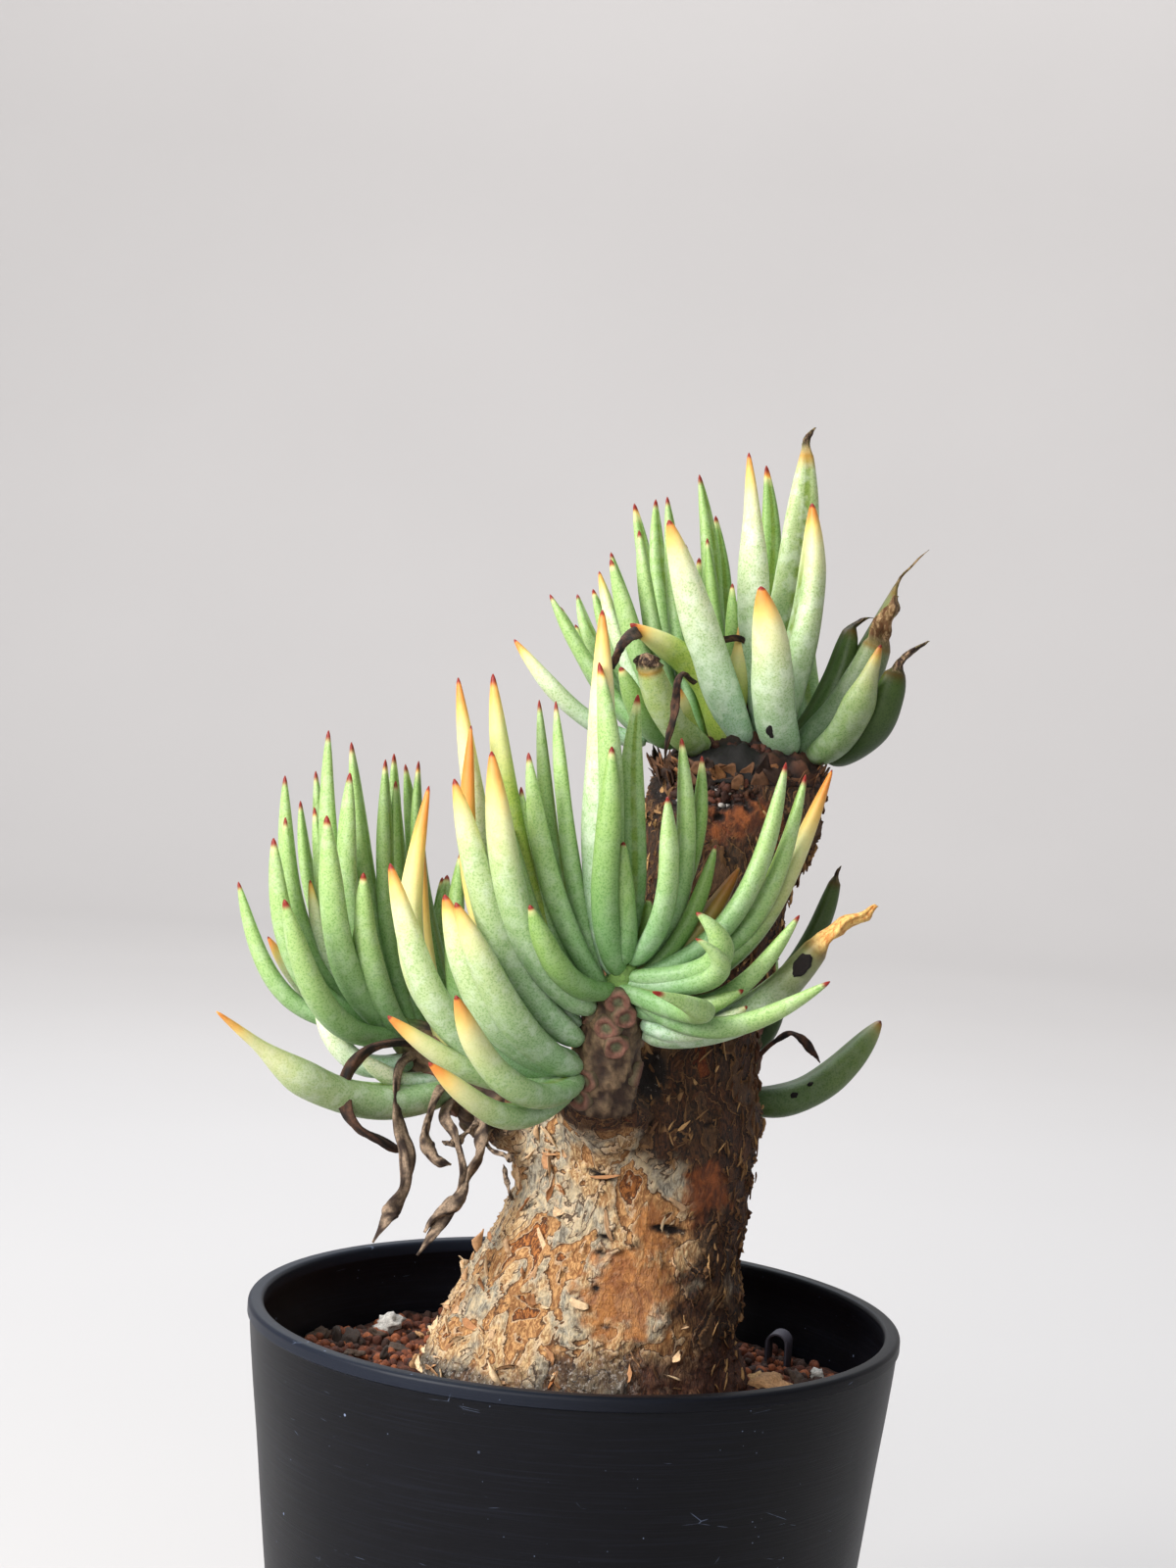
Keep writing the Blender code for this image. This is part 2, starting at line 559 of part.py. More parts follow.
def make_top_dome(name, parts):
    """Low dome on the caudex's cut top, which the top crown grows from."""
    cx, cy, base = TOP_DOME_CENTRE
    half_width, half_depth, height = TOP_DOME_SIZE
    rings = []
    for share in DOME_LEVELS:
        shrink = math.sqrt(1.0 - share**2)
        rings.append(oval(base + height * share, cx, cy, half_width * shrink, half_depth * shrink, DOME_SIDES))
    return loft(name, rings, parts, tip=(cx, cy, base + height))


def make_crown(core, stem, rows, material, withered=False):
    """Join a core with the leaves that sit on its stem, in one solid."""
    leaves = make_collection(core.name + "_leaves")
    for i, row in enumerate(rows):
        make_leaf(f"{core.name}_leaf_{i}", stem, row, leaves)
    if withered:
        make_withered(leaves)
    union_collection(core, leaves)
    keep_largest_body(core)
    finish_mesh(core.data)
    core.data.materials.append(material)


def stub_centre():
    return (STUB_PLACE[0] * MM, STUB_PLACE[1] * MM, (STUB_TOP + STUB_BOTTOM) / 2 * MM)


def stub_box(extra):
    depth = STUB_LEG_GAP + 2 * STUB_THICKNESS
    sizes = (STUB_WIDTH + extra, depth + extra, STUB_TOP - STUB_BOTTOM + extra)
    return tuple(size * MM for size in sizes)


def make_label_stub(parts, material):
    """Narrow plastic strip folded over into a loop, both legs in the soil."""
    half = STUB_LEG_GAP / 2 + STUB_THICKNESS / 2
    bend = STUB_TOP - STUB_THICKNESS / 2 - half
    path = [(-half, STUB_BOTTOM), (-half, bend)]
    path += [(half * math.cos(math.radians(a)), bend + half * math.sin(math.radians(a))) for a in (135, 90, 45)]
    path += [(half, bend), (half, STUB_BOTTOM)]
    middle = (STUB_TOP + STUB_BOTTOM) / 2
    points = [(-STUB_WIDTH / 2 * MM, y * MM, (z - middle) * MM) for y, z in path]
    edges = [(i, i + 1) for i in range(len(points) - 1)]
    mesh = bpy.data.meshes.new("label_stub")
    shape = bmesh.new()
    verts = [shape.verts.new(p) for p in points]
    for a, b in edges:
        shape.edges.new((verts[a], verts[b]))
    strip = bmesh.ops.extrude_edge_only(shape, edges=shape.edges[:])
    far = [v for v in strip["geom"] if isinstance(v, bmesh.types.BMVert)]
    bmesh.ops.translate(shape, vec=(STUB_WIDTH * MM, 0.0, 0.0), verts=far)
    shape.to_mesh(mesh)
    shape.free()
    stub = bpy.data.objects.new("label_stub", mesh)
    parts.objects.link(stub)
    shell = stub.modifiers.new("thickness", "SOLIDIFY")
    shell.thickness = STUB_THICKNESS * MM
    shell.offset = 0.0
    stub.location = stub_centre()
    stub.rotation_euler = (0.0, 0.0, STUB_TURN)
    stub.data.materials.append(material)
    return stub


def main():
    clear_scene()
    parts = make_collection("potted_tylecodon")
    cutters = make_collection("cutters")
    black = make_material("black_plastic", (0.015, 0.017, 0.02), 0.45)
    earth = make_material("soil_grains", (0.16, 0.08, 0.045), 0.95)
    bark = make_material("flaking_bark", (0.42, 0.32, 0.2), 0.8)
    leaf = make_material("fleshy_leaf", (0.36, 0.5, 0.24), 0.45)
    make_pot(parts, cutters, black)
    make_soil(parts, cutters, earth)
    make_caudex(parts, bark)
    make_label_stub(parts, black)
    top_rows = LEAVES_TOP + far_side_leaves(STEM_TOP, FAR_TOP)
    make_crown(make_top_dome("crown_top", parts), STEM_TOP, top_rows, leaf)
    front_rows = [(x, y, z - FRONT_SAG, *rest) for x, y, z, *rest in LEAVES_FRONT]
    make_crown(make_stem("crown_front", STEM_FRONT, parts), STEM_FRONT, front_rows, leaf)
    left_rows = LEAVES_LEFT + far_side_leaves(STEM_LEFT, FAR_LEFT)
    make_crown(make_stem("crown_left", STEM_LEFT, parts), STEM_LEFT, left_rows, leaf, withered=True)
    back_rows = LEAVES_BACK + far_side_leaves(STEM_BACK, FAR_BACK)
    make_crown(make_stem("crown_back", STEM_BACK, parts), STEM_BACK, back_rows, leaf)


main()
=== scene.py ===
"""Looks of the potted tylecodon: flaking caudex, fleshy leaves, soil and pot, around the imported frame.

World frame: +Z up, origin at the centre of the pot's base, -Y is the side that the camera sees.
Sizes are in millimetres until a mesh is built. The pot's wall and the caudex's sections are those of
the part. Most leaf rows are too, but some leaves stand, bend or taper differently here.
"""
import math
import random
from collections import namedtuple

import bmesh
import bpy
from mathutils import Matrix, Vector, noise


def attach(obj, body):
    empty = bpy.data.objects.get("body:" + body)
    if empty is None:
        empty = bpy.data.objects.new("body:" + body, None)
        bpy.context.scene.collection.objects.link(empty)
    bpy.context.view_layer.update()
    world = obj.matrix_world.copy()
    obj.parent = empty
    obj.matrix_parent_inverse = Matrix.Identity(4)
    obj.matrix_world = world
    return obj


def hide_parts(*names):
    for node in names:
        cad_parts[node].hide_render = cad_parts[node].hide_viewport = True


MM = 0.001
GOLDEN_ANGLE = math.radians(137.5)

# Camera, worked out from the photograph: place, downward pitch, roll and lens
CAMERA_PLACE = (-3.6, -470.3, 226.3)
CAMERA_PITCH = 1.97
CAMERA_ROLL = 3.6
LENS = 58.5

# Pot
POT_HEIGHT = 112.8
RIM_RADIUS = 60.3
LIP_WIDTH = 2.9
LIP_HEIGHT = 2.6
LIP_ROUND = 0.8
LIP_STEP = 0.3
WALL = 1.3
FOOT_RADIUS = 45.0
FOOT_WIDTH = 3.0
RECESS_HEIGHT = 2.2
RECESS_SLOPE = 0.7
CENTRE_DISC_RADIUS = 12.0
FLOOR_TOP = 3.6
DRAIN_COUNT = 8
DRAIN_RADIUS = 2.5
DRAIN_RING = 30.0
POT_SIDES = 200
FOOT_ROUND = 0.6     # rounding of the foot's outer edge
WALL_FOOT = 2.4      # the drawn wall ends this far above the foot's level
CORNER_WIDTH = 2.0   # slanted corner between floor and inner wall
CORNER_HEIGHT = 1.5
UNDER_LIP = 2.0      # the inner wall ends this far below the lip
OUTER_STEPS = 36
INNER_STEPS = 24
EDGE_ANGLE = 38      # edges that bend more than this, in degrees, stay sharp
MERGE_DISTANCE = 0.00005  # metres
PIN_SIDES = 24       # sides of the pins that cut the drain holes
PIN_MARGIN = 3.0     # how far the pins stand out of the floor
# Outer wall radius at some depths below the rim
WALL_OUTLINE = [
    (2.6, 59.9), (13.0, 58.8), (25.0, 57.3), (45.0, 55.0), (66.0, 52.2), (90.0, 48.4), (108.8, 45.6),
]

# Soil: height, size and height of the broad crumbs and mounds, and the heap at the left wall
SOIL_TOP = 98.0
SOIL_SIDES = 120
SOIL_RINGS = 34
SOIL_CLEARANCE = 0.5  # gap to the pot's wall
CRUMB_SIZE = 7.0
CRUMB_HEIGHT = 1.3
MOUND_SIZE = 22.0
MOUND_HEIGHT = 1.2
CLOD_SIZE = 2.6
CLOD_HEIGHT = 0.6
HEAP_PLACE = (-46.0, 8.0)
HEAP_HEIGHT = 2.0
HEAP_SPREAD = 160.0  # square millimetres
GRANULE_COUNT = 1700
GRANULE_SIZES = (0.5, 1.2)
GRANULE_SEED = 31

# Caudex sections: height, centre x, centre y, half width, half depth
CAUDEX = [
    (71.0, 2.0, 5.0, 12.0, 10.0),
    (82.0, 2.0, 5.0, 24.0, 20.0),
    (90.0, 2.0, 5.0, 30.0, 25.0),
    (101.0, 2.0, 5.0, 30.0, 25.0),
    (108.0, 2.4, 5.0, 27.6, 24.0),
    (120.0, 6.0, 5.0, 24.4, 22.0),
    (133.0, 9.6, 5.0, 21.6, 20.8),
    (144.0, 10.7, 5.0, 20.5, 19.5),
    (154.0, 12.6, 5.5, 18.0, 17.2),
    (164.0, 15.0, 6.0, 15.4, 15.0),
    (177.0, 17.5, 7.0, 14.9, 13.6),
    (189.0, 19.8, 8.0, 14.2, 13.2),
    (198.0, 22.6, 8.5, 15.4, 13.2),
    (206.0, 24.2, 9.0, 16.4, 13.4),
    (212.0, 24.5, 9.0, 16.0, 13.0),
]
TRUNK_SIDES = 340
TRUNK_RINGS = 266
TRUNK_TOP = 212.0
PLATE_RELIEF = 1.0   # height of the bark's peeling plates
KNOB_RELIEF = 1.3    # height of its broad lumps
BURIED = 96.0        # below this height the soil hides the caudex
BURIED_RINGS = 10
BARK_SEED = 5        # chooses the pattern of the bark's sheets
SHEETS = 4           # layers of papery bark
SHEET_HEIGHT = 0.34
SHEET_LEVEL = 1.9    # the sheet that lies level with the smooth trunk
SHEET_EDGE = 0.14    # part of a sheet that its rising edge takes
EDGE_CURL = 0.7      # how far a sheet's free edge stands up
FILLET_HEIGHT = 2.4  # how far the bark swells out round the foot of a branch
FILLET_REACH = 7.0
BRANCH_SIDES = 72
BRANCH_RINGS = 30
# Patches on the front: middle x and z, half width and half height
BARE_PATCHES = [((9.6, 119.5), (8.6, 9.0)), ((12.5, 130.5), (3.5, 5.0))]   # smooth and orange-brown
RUSTY_PATCHES = [((22.5, 138.4), (4.6, 5.4)), ((23.5, 206.4), (8.0, 5.5))]  # rust-coloured and torn
HOLLOW = ((17.5, 212.0), (11.0, 5.0), 2.6)    # dark hollow under the rim, with its depth
# Gashes and pits in the front of the bark: x, z, half length, half height, tilt in degrees, depth.
# Their near-black paint is partly painted shade; at x 11.5, z 158.5 it is painted shade in the gap
# between the front stem and the trunk
GASHES = [
    (16.0, 131.3, 4.2, 1.0, -8, 1.5), (3.5, 140.8, 3.2, 0.8, -16, 1.1), (4.7, 129.4, 2.6, 0.7, -4, 0.9),
    (3.8, 126.6, 1.6, 0.7, -6, 0.8), (3.5, 120.3, 1.1, 1.0, 0, 0.9), (1.3, 117.2, 1.2, 0.8, -10, 0.8),
    (5.7, 113.8, 1.6, 0.7, -12, 0.6), (11.5, 158.5, 3.0, 5.0, 0, 2.2), (22.0, 150.0, 1.6, 0.8, 10, 0.7),
    (5.8, 146.0, 0.7, 2.2, -35, 0.8), (20.6, 205.6, 1.5, 1.1, 10, 1.3), (26.2, 207.6, 1.3, 0.9, -10, 1.2),
]

# Each leafy stem: where it starts, where it grows, its radius at both ends, how far leaf roots climb,
# and how far out the roots sit, as shares of the radius, low and high on the stem
Stem = namedtuple("Stem", "start end radius_start radius_end climb root_low root_high")
STEM_TOP = Stem((10.0, 8.0, 216.5), (39.5, 11.0, 214.8), 5.0, 5.0, 1.0, 0.8, 0.8)
STEM_FRONT = Stem((1.5, -24.5, 157.0), (4.6, -34.0, 180.0), 6.8, 5.0, 0.2, 0.95, 0.4)
STEM_LEFT = Stem((-17.0, 5.0, 149.5), (-38.0, 5.0, 163.0), 7.4, 5.0, 0.3, 0.9, 0.5)
STEM_BACK = Stem((27.0, 26.5, 153.0), (30.0, 31.0, 172.0), 6.0, 4.4, 0.2, 0.8, 0.6)
# Inner point and girth of each branch where it leaves the caudex
BRANCHES = [
    (STEM_FRONT, (5.0, -4.0, 146.0), 8.2),
    (STEM_LEFT, (-2.0, 4.5, 144.5), 7.2),
    (STEM_BACK, (22.0, 12.0, 148.0), 6.6),
]
STEM_SIDES = 56
STEM_RINGS = 30
CAP_RINGS = 6        # rings of a stem's round end
TOP_DOME_CENTRE = (25.0, 9.2, 212.0)
TOP_DOME_SIZE = (16.0, 12.6, 8.4)
DOME_SIDES = 90
DOME_RINGS = 26
DOME_LUMPS = 1.8     # height of the dome's lumps

# How a leaf looks: share that turns yellow to orange, share of red tip, blue-grey bloom, darkness (partly
# the leaf's own duller tone, partly painted shade) and lime tint. For a dry end its share, its hook in
# degrees, its girth and how golden it is. Then the leaf's roll in degrees, how slender its end is, the part of
# the width curve that a leaf with a dry end keeps, where darkness begins, and how far its middle swings to
# the right, as a share of its length
Look = namedtuple(
    "Look", "warm red bloom dark lime dry hook girth gold roll slim shoulder shade_from swing",
    defaults=(0.0, 0, 0.3, 0.0, 0, 0.0, 0.80, -1.0, 0.0))
LOOKS = {
    "grooved": Look(0.130, 0.014, 0.75, 0.04, 0.12, roll=62),
    "waxy": Look(0.100, 0.014, 0.55, 0.06, 0.05),
    "sandy": Look(0.170, 0.012, 0.45, 0.08, 0.10),
    "slender": Look(0.150, 0.000, 0.62, 0.08, 0.20, slim=1.0),
    "young": Look(0.022, 0.026, 0.22, 0.04, 0.00),
    "swung": Look(0.022, 0.026, 0.20, 0.10, 0.00, swing=0.44),
    "tapered": Look(0.110, 0.013, 0.85, 0.00, 0.00, slim=0.6),
    "ripe": Look(0.220, 0.006, 0.30, 0.10, 0.20),
    "olive": Look(0.300, 0.010, 0.00, 0.12, 1.00),
    "dusky": Look(0.060, 0.012, 0.20, 0.75, 0.15),
    "green": Look(0.030, 0.022, 0.08, 0.24, 0.00),
    "inner": Look(0.025, 0.020, 0.05, 0.50, 0.00),
    "tinged": Look(0.110, 0.013, 0.85, 0.00, 0.00),
    "amber": Look(0.170, 0.012, 0.80, 0.00, 0.00),
    "mature": Look(0.040, 0.016, 1.00, 0.00, 0.00),
    "dull": Look(0.120, 0.014, 0.50, 0.55, 0.20, slim=0.6),
    "lime": Look(0.130, 0.022, 0.10, 0.05, 0.75),
    "ochre": Look(0.560, 0.008, 0.00, 0.10, 0.80),
    "sunken": Look(0.550, 0.000, 0.00, 0.80, 0.60),
    "shaded": Look(0.030, 0.018, 0.20, 1.00, 0.00),
    "curled": Look(0.050, 0.000, 0.80, 0.00, 0.25, 0.085, 25, 0.26, 0.00, 68, shoulder=0.95),
    "scorched": Look(0.260, 0.010, 0.50, 0.02, 0.20, slim=0.35),
    "trailing": Look(0.200, 0.000, 0.10, 0.70, 0.30, 0.22, 22, 0.24, 0.10, shoulder=0.92),
    "spent": Look(0.100, 0.000, 0.10, 0.90, 0.05, 0.26, 100, 0.30, 0.00, shoulder=0.90),
    "faded": Look(0.060, 0.000, 0.60, 0.75, 0.00, 0.28, 6, 0.74, 0.15),
    "hooked": Look(0.070, 0.000, 0.10, 1.00, 0.05, 0.29, 50, 0.32, 0.00, shoulder=0.87),
    "forked": Look(0.050, 0.000, 0.10, 1.00, 0.00, 0.10, 10, 0.30, 0.00, shoulder=0.90),
    "straw": Look(0.200, 0.000, 1.00, 0.80, 0.15, 0.28, 30, 0.75, 1.00, shade_from=0.36),
    "stubby": Look(0.040, 0.000, 0.50, 0.15, 0.45, 0.10, 0, 0.90, 0.00, shoulder=0.84),
}

# Leaves that the front view shows: tip x, y, z, width, place along the stem, bow in % of length, look
LEAVES_TOP = [
    (33.7, 14, 280, 7.6, 0.62, 4, "curled"), (34.6, 4, 264.6, 7.6, 0.64, 8, "grooved"),
    (22.2, 2, 273, 6.8, 0.72, 2, "tapered"), (25.3, -10, 248, 7.8, 0.81, 9, "amber"),
    (8, -8, 259, 7.6, 0.56, 2, "tinged"), (27, 25, 273, 4.8, 0.75, 3, "green"),
    (14, 20, 270, 4.4, 0.50, 3, "young"), (18, 29, 263, 4.4, 0.60, 5, "green"),
    (16, 13, 257.5, 4.2, 0.62, 5, "green"), (12, 12, 256, 4.4, 0.44, 3, "green"),
    (8, 15, 265, 4.4, 0.28, 3, "young"), (6, 23, 265, 4.2, 0.24, 4, "young"),
    (2, 29, 264.4, 4.2, 0.20, 4, "young"), (3, 10, 258, 4.6, 0.20, 4, "young"),
    (-2, 18, 254, 4.4, 0.15, 4, "young"), (-2, 5, 252, 5.2, 0.17, 3, "young"),
    (-4, 13, 250, 4.2, 0.12, 5, "tinged"), (-5, 23, 247, 4.0, 0.10, 6, "young"),
    (-8, 28, 246, 4.0, 0.08, 6, "young"), (-13, 11, 245, 4.2, 0.05, 6, "young"),
    (-11, 18, 243, 4.0, 0.05, 8, "young"), (-8, 25, 240, 4.0, 0.05, 9, "green"),
    (-19, 5, 236, 4.6, 0.00, 10, "tinged"), (2.3, -4, 240, 7.0, 0.46, -18, "lime"),
    (21, 7, 249, 3.6, 0.54, 3, "green"), (23, 7, 243.2, 5.0, 0.40, 3, "olive"),
    (56, 15, 259.5, 3.8, 0.80, 3, "trailing"), (51, 5, 249, 9.4, 0.80, 8, "faded"),
    (45.6, 15, 251, 6.6, 0.76, 8, "spent"), (48, -6, 239, 6.8, 0.90, 13, "dull"),
    (53, 0, 243.5, 7.4, 1.00, 17, "hooked"), (1, -5, 232, 5.0, 0.14, 10, "green"),
    (5.4, -12, 234.6, 6.6, 0.30, 10, "stubby"), (11.5, -8, 229, 5.4, 0.18, 6, "lime"),
]
LEAVES_FRONT = [
    (-31, -30, 210, 7.0, 0.20, 30, "scorched"), (-36, -42, 197, 7.0, 0.20, 21, "waxy"),
    (-26.4, -44, 192.5, 8.0, 0.22, 15, "waxy"), (-24.2, -50, 191.8, 6.8, 0.18, 10, "waxy"),
    (-27, -50, 165, 5.8, 0.10, 21, "sandy"), (-23, -55, 177, 6.2, 0.12, 20, "sandy"),
    (-35, -40, 171, 5.8, 0.14, 12, "sandy"), (-20, -45, 217, 6.8, 0.62, 13, "sandy"),
    (-26, -44, 212, 6.6, 0.36, 9, "waxy"), (-24, -38, 221, 4.4, 0.36, 16, "ochre"),
    (-27, -32, 229, 5.8, 0.44, 8, "amber"), (-21, -34, 230, 6.2, 0.54, 6, "lime"),
    (-3, -36, 242, 6.4, 0.88, 3, "amber"), (-3, -40, 233, 5.0, 0.96, 0, "young"),
    (4, -32, 228, 4.6, 0.86, 1, "young"), (0, -42, 219, 4.8, 0.92, 9, "green"),
    (-10, -32, 226, 4.2, 0.74, 3, "young"), (-13, -26, 226, 4.0, 0.62, 4, "young"),
    (-14, -38, 217, 4.8, 0.78, 7, "young"), (-15, -34, 211, 4.4, 0.66, 8, "young"),
    (-16, -37, 204, 4.4, 0.74, 12, "young"), (-12, -48, 192, 5.2, 0.84, 16, "green"),
    (3, -40, 203, 4.2, 1.00, 4, "green"), (6, -30, 200, 3.6, 0.94, 2, "inner"),
    (8, -32, 193, 3.6, 1.00, 6, "inner"), (10, -38, 211, 4.4, 1.00, 13, "young"),
    (12, -30, 221, 4.6, 0.90, 13, "young"), (16, -24, 218, 4.2, 0.80, 10, "green"),
    (30, -34, 218, 5.0, 0.92, 16, "young"), (34, -28, 216, 4.6, 0.84, 18, "young"),
    (39, -23, 217, 4.8, 0.76, 15, "ripe"), (19, -32, 203, 4.0, 0.90, 10, "inner"),
    (23.6, -27, 199, 4.4, 0.96, 10, "sunken"), (16, -42, 192, 5.4, 0.94, 14, "swung"),
    (16, -46, 188, 4.4, 0.88, 10, "swung"), (34, -34, 192, 4.4, 0.82, 22, "young"),
    (39, -44, 182, 4.8, 0.88, 20, "young"), (9, -58, 180, 5.2, 0.86, 12, "swung"),
    (25, -38, 179, 4.8, 0.72, 10, "young"), (26, -36, 176, 4.6, 0.60, 14, "mature"),
    (44.7, -30, 198.4, 7.8, 0.50, 16, "straw"),
]
LEAVES_LEFT = [
    (-67, 0, 188, 4.6, 1.00, 22, "young"), (-60, -8, 197, 5.4, 1.00, 19, "young"),
    (-58.8, -2, 200.6, 4.4, 0.96, 15, "young"), (-60, 4, 208, 5.0, 1.00, 14, "young"),
    (-58, 14, 203, 4.0, 0.90, 11, "young"), (-55, 10, 209, 4.4, 0.86, 9, "young"),
    (-54.2, 4, 202.5, 4.2, 0.82, 10, "young"), (-52, 0, 217, 4.8, 0.94, 8, "young"),
    (-50, -14, 202, 5.8, 0.90, 14, "young"), (-56, -20, 187, 5.8, 0.84, 18, "young"),
    (-47.4, -2, 209.5, 5.4, 0.80, 10, "young"), (-48.8, 12, 214.8, 4.8, 0.50, 6, "young"),
    (-50, 20, 197, 4.0, 0.72, 9, "green"), (-42, 10, 212, 4.4, 0.62, 5, "young"),
    (-41, 17, 213, 4.0, 0.56, 5, "young"), (-40, 12, 208, 4.4, 0.50, 5, "green"),
    (-39, 21, 211, 4.0, 0.46, 5, "green"), (-36, 14, 212, 4.0, 0.08, 5, "green"),
    (-43, -12, 192, 5.0, 0.80, 10, "young"), (-54, 2, 189, 4.4, 0.92, 12, "tinged"),
    (-44, -9, 182, 4.0, 0.96, 6, "green"), (-61.7, 6, 177.6, 4.2, 0.96, 14, "amber"),
    (-34, 0, 201, 4.8, 0.20, 6, "ochre"), (-26.3, 2, 196, 5.0, 0.04, 6, "green"),
    (-51.5, -2, 170, 6.0, 0.50, 27, "mature"), (-66, -26, 167.2, 9.0, 0.18, 13, "slender"),
    (-42.2, -8, 158.6, 4.8, 0.30, 12, "mature"),
]
LEAVES_BACK = [
    (46.5, 27, 196.5, 5.6, 0.80, 9, "forked"), (57, 31, 166, 8.6, -0.20, 14, "dusky"),
    (35.5, 33, 173, 6.4, 0.30, 14, "shaded"),
]
FRONT_SAG = 0.9      # the front crown's tips hang this much below the heights in its rows
# Seeds for the small differences between the leaves of one crown
LEAF_SEEDS = {"top": 46, "front": 41, "left": 35, "back": 14}
# Leaves on the far side follow a rule: count, azimuth range, reach, rise, widths, seed
FAR_TOP = (12, (76, 132), (17, 28), (22, 40), (4.4, 6.4), 11)
FAR_LEFT = (8, (48, 130), (14, 24), (20, 36), (3.8, 5.0), 12)
FAR_BACK = (11, (66, 160), (12, 24), (6, 32), (4.2, 6.0), 13)
FAR_LOOKS = ("young", "young", "mature", "young", "green")
FAR_BOWS = (6, 14)
FAR_ALONG = (0.15, 0.8)  # first place along the stem, and the length over which the others spread

LEAF_RINGS = 42
LEAF_SIDES = 22
LEAF_SWAY = 0.04     # most that a leaf wavers sideways, as a share of its length
BOW_NEAR_ROOT = 1.45
BOW_NEAR_TIP = 0.65
MIDDLE_PULL = 0.375  # part of an inner control point's offset that reaches the middle of the curve
# Share of the leaf's length and of its full width
LEAF_WIDTHS = [
    (0.0, 0.52), (0.025, 0.76), (0.07, 0.92), (0.17, 1.01), (0.32, 1.04), (0.50, 1.02), (0.63, 0.95),
    (0.75, 0.84), (0.85, 0.65), (0.92, 0.45), (0.965, 0.28), (0.988, 0.17), (1.0, 0.05),
]
SLENDER_END = 0.55   # part of the width that a slender leaf loses towards its tip
# Dark spots on single leaves: crown, row, place along the leaf, turn round it in degrees, length, width
LEAF_SPOTS = [
    ("top", 3, 0.25, -84, 2.6, 1.2), ("front", 40, 0.64, 176, 4.0, 2.5), ("back", 1, 0.25, 164, 1.4, 1.0),
    ("back", 1, 0.38, 150, 1.3, 1.0), ("left", 22, 0.60, -90, 2.4, 1.4), ("front", 4, 0.06, -50, 0.9, 0.5),
    ("top", 33, 0.62, -90, 1.2, 0.8),
]

# Leaf scars at the foot of the front stem that the front view shows
FRONT_SCARS = [
    (3.7, -41, 172.4), (6.3, -38, 170.5), (0.6, -40, 167.7),
    (4.7, -37, 165.1), (-1.9, -33, 159.4), (-2.7, -32, 156.2),
]
SPIRAL_SCARS = 14    # scars in a spiral all round each stem
SCAR_SPACING = 9.0   # the spiral's scars stay this far from the ones above
SCAR_SIDES = 18
GROWING_GIRTH = 0.72  # the growing point's visible girth, as a share of the stem's
# Radius, height and how pink: outline of one leaf scar
SCAR_OUTLINE = [
    (0.02, 0.30, 0.0), (0.55, 0.34, 0.1), (0.95, 0.16, 0.5), (1.25, 0.50, 1.0),
    (1.70, 0.80, 1.0), (2.15, 0.60, 0.8), (2.40, 0.0, 0.4), (2.50, -1.2, 0.2),
]

FLAKE_TRIES = 9000   # places tried for peeling scraps of bark
FLAKE_HEIGHTS = (100.0, 211.0)
FLAKE_SEED = 47
FLAKE_THICKNESS = 0.16
RIM_COUNT = 150      # shreds round the top of the trunk
RIM_CRUMBS = 750     # crumbs under its front edge
RIM_SEED = 53

# Withered leaves under the left stem: thickness, then the points that each one follows
WITHERED = [
    (2.5, [(-33, 2, 160), (-36, -7, 161), (-40, -9, 160), (-43, -11, 157), (-44, -13, 153), (-43, -14, 149),
           (-41, -13, 146), (-38, -11, 144), (-35, -8, 142), (-33, -6, 141)]),
    (2.7, [(-33, 2, 158), (-35, -5, 156), (-35, -8, 151), (-34, -10, 146), (-32, -12, 141), (-32, -13, 136),
           (-34, -14, 132), (-35, -15, 130), (-37, -16, 126)]),
    (2.3, [(-27, 3, 154), (-28, -6, 151), (-29, -8, 147), (-29, -10, 144), (-27, -11, 141),
           (-24, -11, 140)]),
    (2.3, [(-24, 3, 152), (-26, -6, 148), (-24, -8, 145), (-22, -10, 140), (-22, -11, 136), (-24, -12, 132),
           (-27, -14, 127), (-29, -15, 124)]),
    (2.6, [(-20, 3, 150), (-19, -6, 146), (-19, -9, 142), (-21, -10, 138), (-22, -12, 134), (-26, -13, 131),
           (-28, -14, 128)]),
    (1.5, [(-17, 0, 147), (-18, -6, 144), (-17, -8, 142.6), (-14, -10, 142), (-12.5, -10, 141.4)]),
    (1.5, [(-20, -5, 147), (-22, -7, 145), (-24, -9, 143.5), (-26, -10, 144)]),
]
# Dry flower strings in the top crown and behind the trunk
STRINGS = [
    (2.3, [(8, 6, 237), (5.5, 3, 238.4), (3.4, -5, 238.2), (1.4, -11.4, 236.8), (0.2, -12.5, 234.4),
           (-0.4, -12, 231.4)]),
    (1.3, [(25, 9, 222), (26, 8, 234), (23.5, 5, 238.4), (19.5, 2, 238.4), (17.5, 4, 239.2)]),
    (1.5, [(14.5, -4, 230), (12.9, -9, 231.2), (12, -12, 231), (11.3, -14.2, 229.7), (11.1, -14.6, 226.9),
           (10.9, -14.4, 223.6), (10.1, -13, 219.5), (10, -10, 215)]),
    (1.5, [(31, 20, 157), (35, 18, 162), (38, 18, 164), (40.5, 18, 163), (43, 19, 160.5),
           (44.5, 20, 158.5)]),
]
STRAND_SIDES = 12
STRAND_STEPS = 14    # rings of a strand for each point of its path
THORN = (0.9, [(-12.5, -14, 135), (-13, -18, 137), (-13.6, -18, 139), (-14.4, -18, 142)])

# Folded black plastic stub of a plant label, standing in the soil
STUB_PLACE = (40.6, 25.0)
STUB_WIDTH = 5.0
STUB_THICKNESS = 0.5
STUB_LEG_GAP = 3.4
STUB_TOP = 104.6
STUB_BOTTOM = 92.0
STUB_TURN = math.radians(72)
STUB_ROUNDING = 0.18  # width of the strip's thinner edges
STUB_EDGE = 0.7       # their thickness, as a share of the strip's

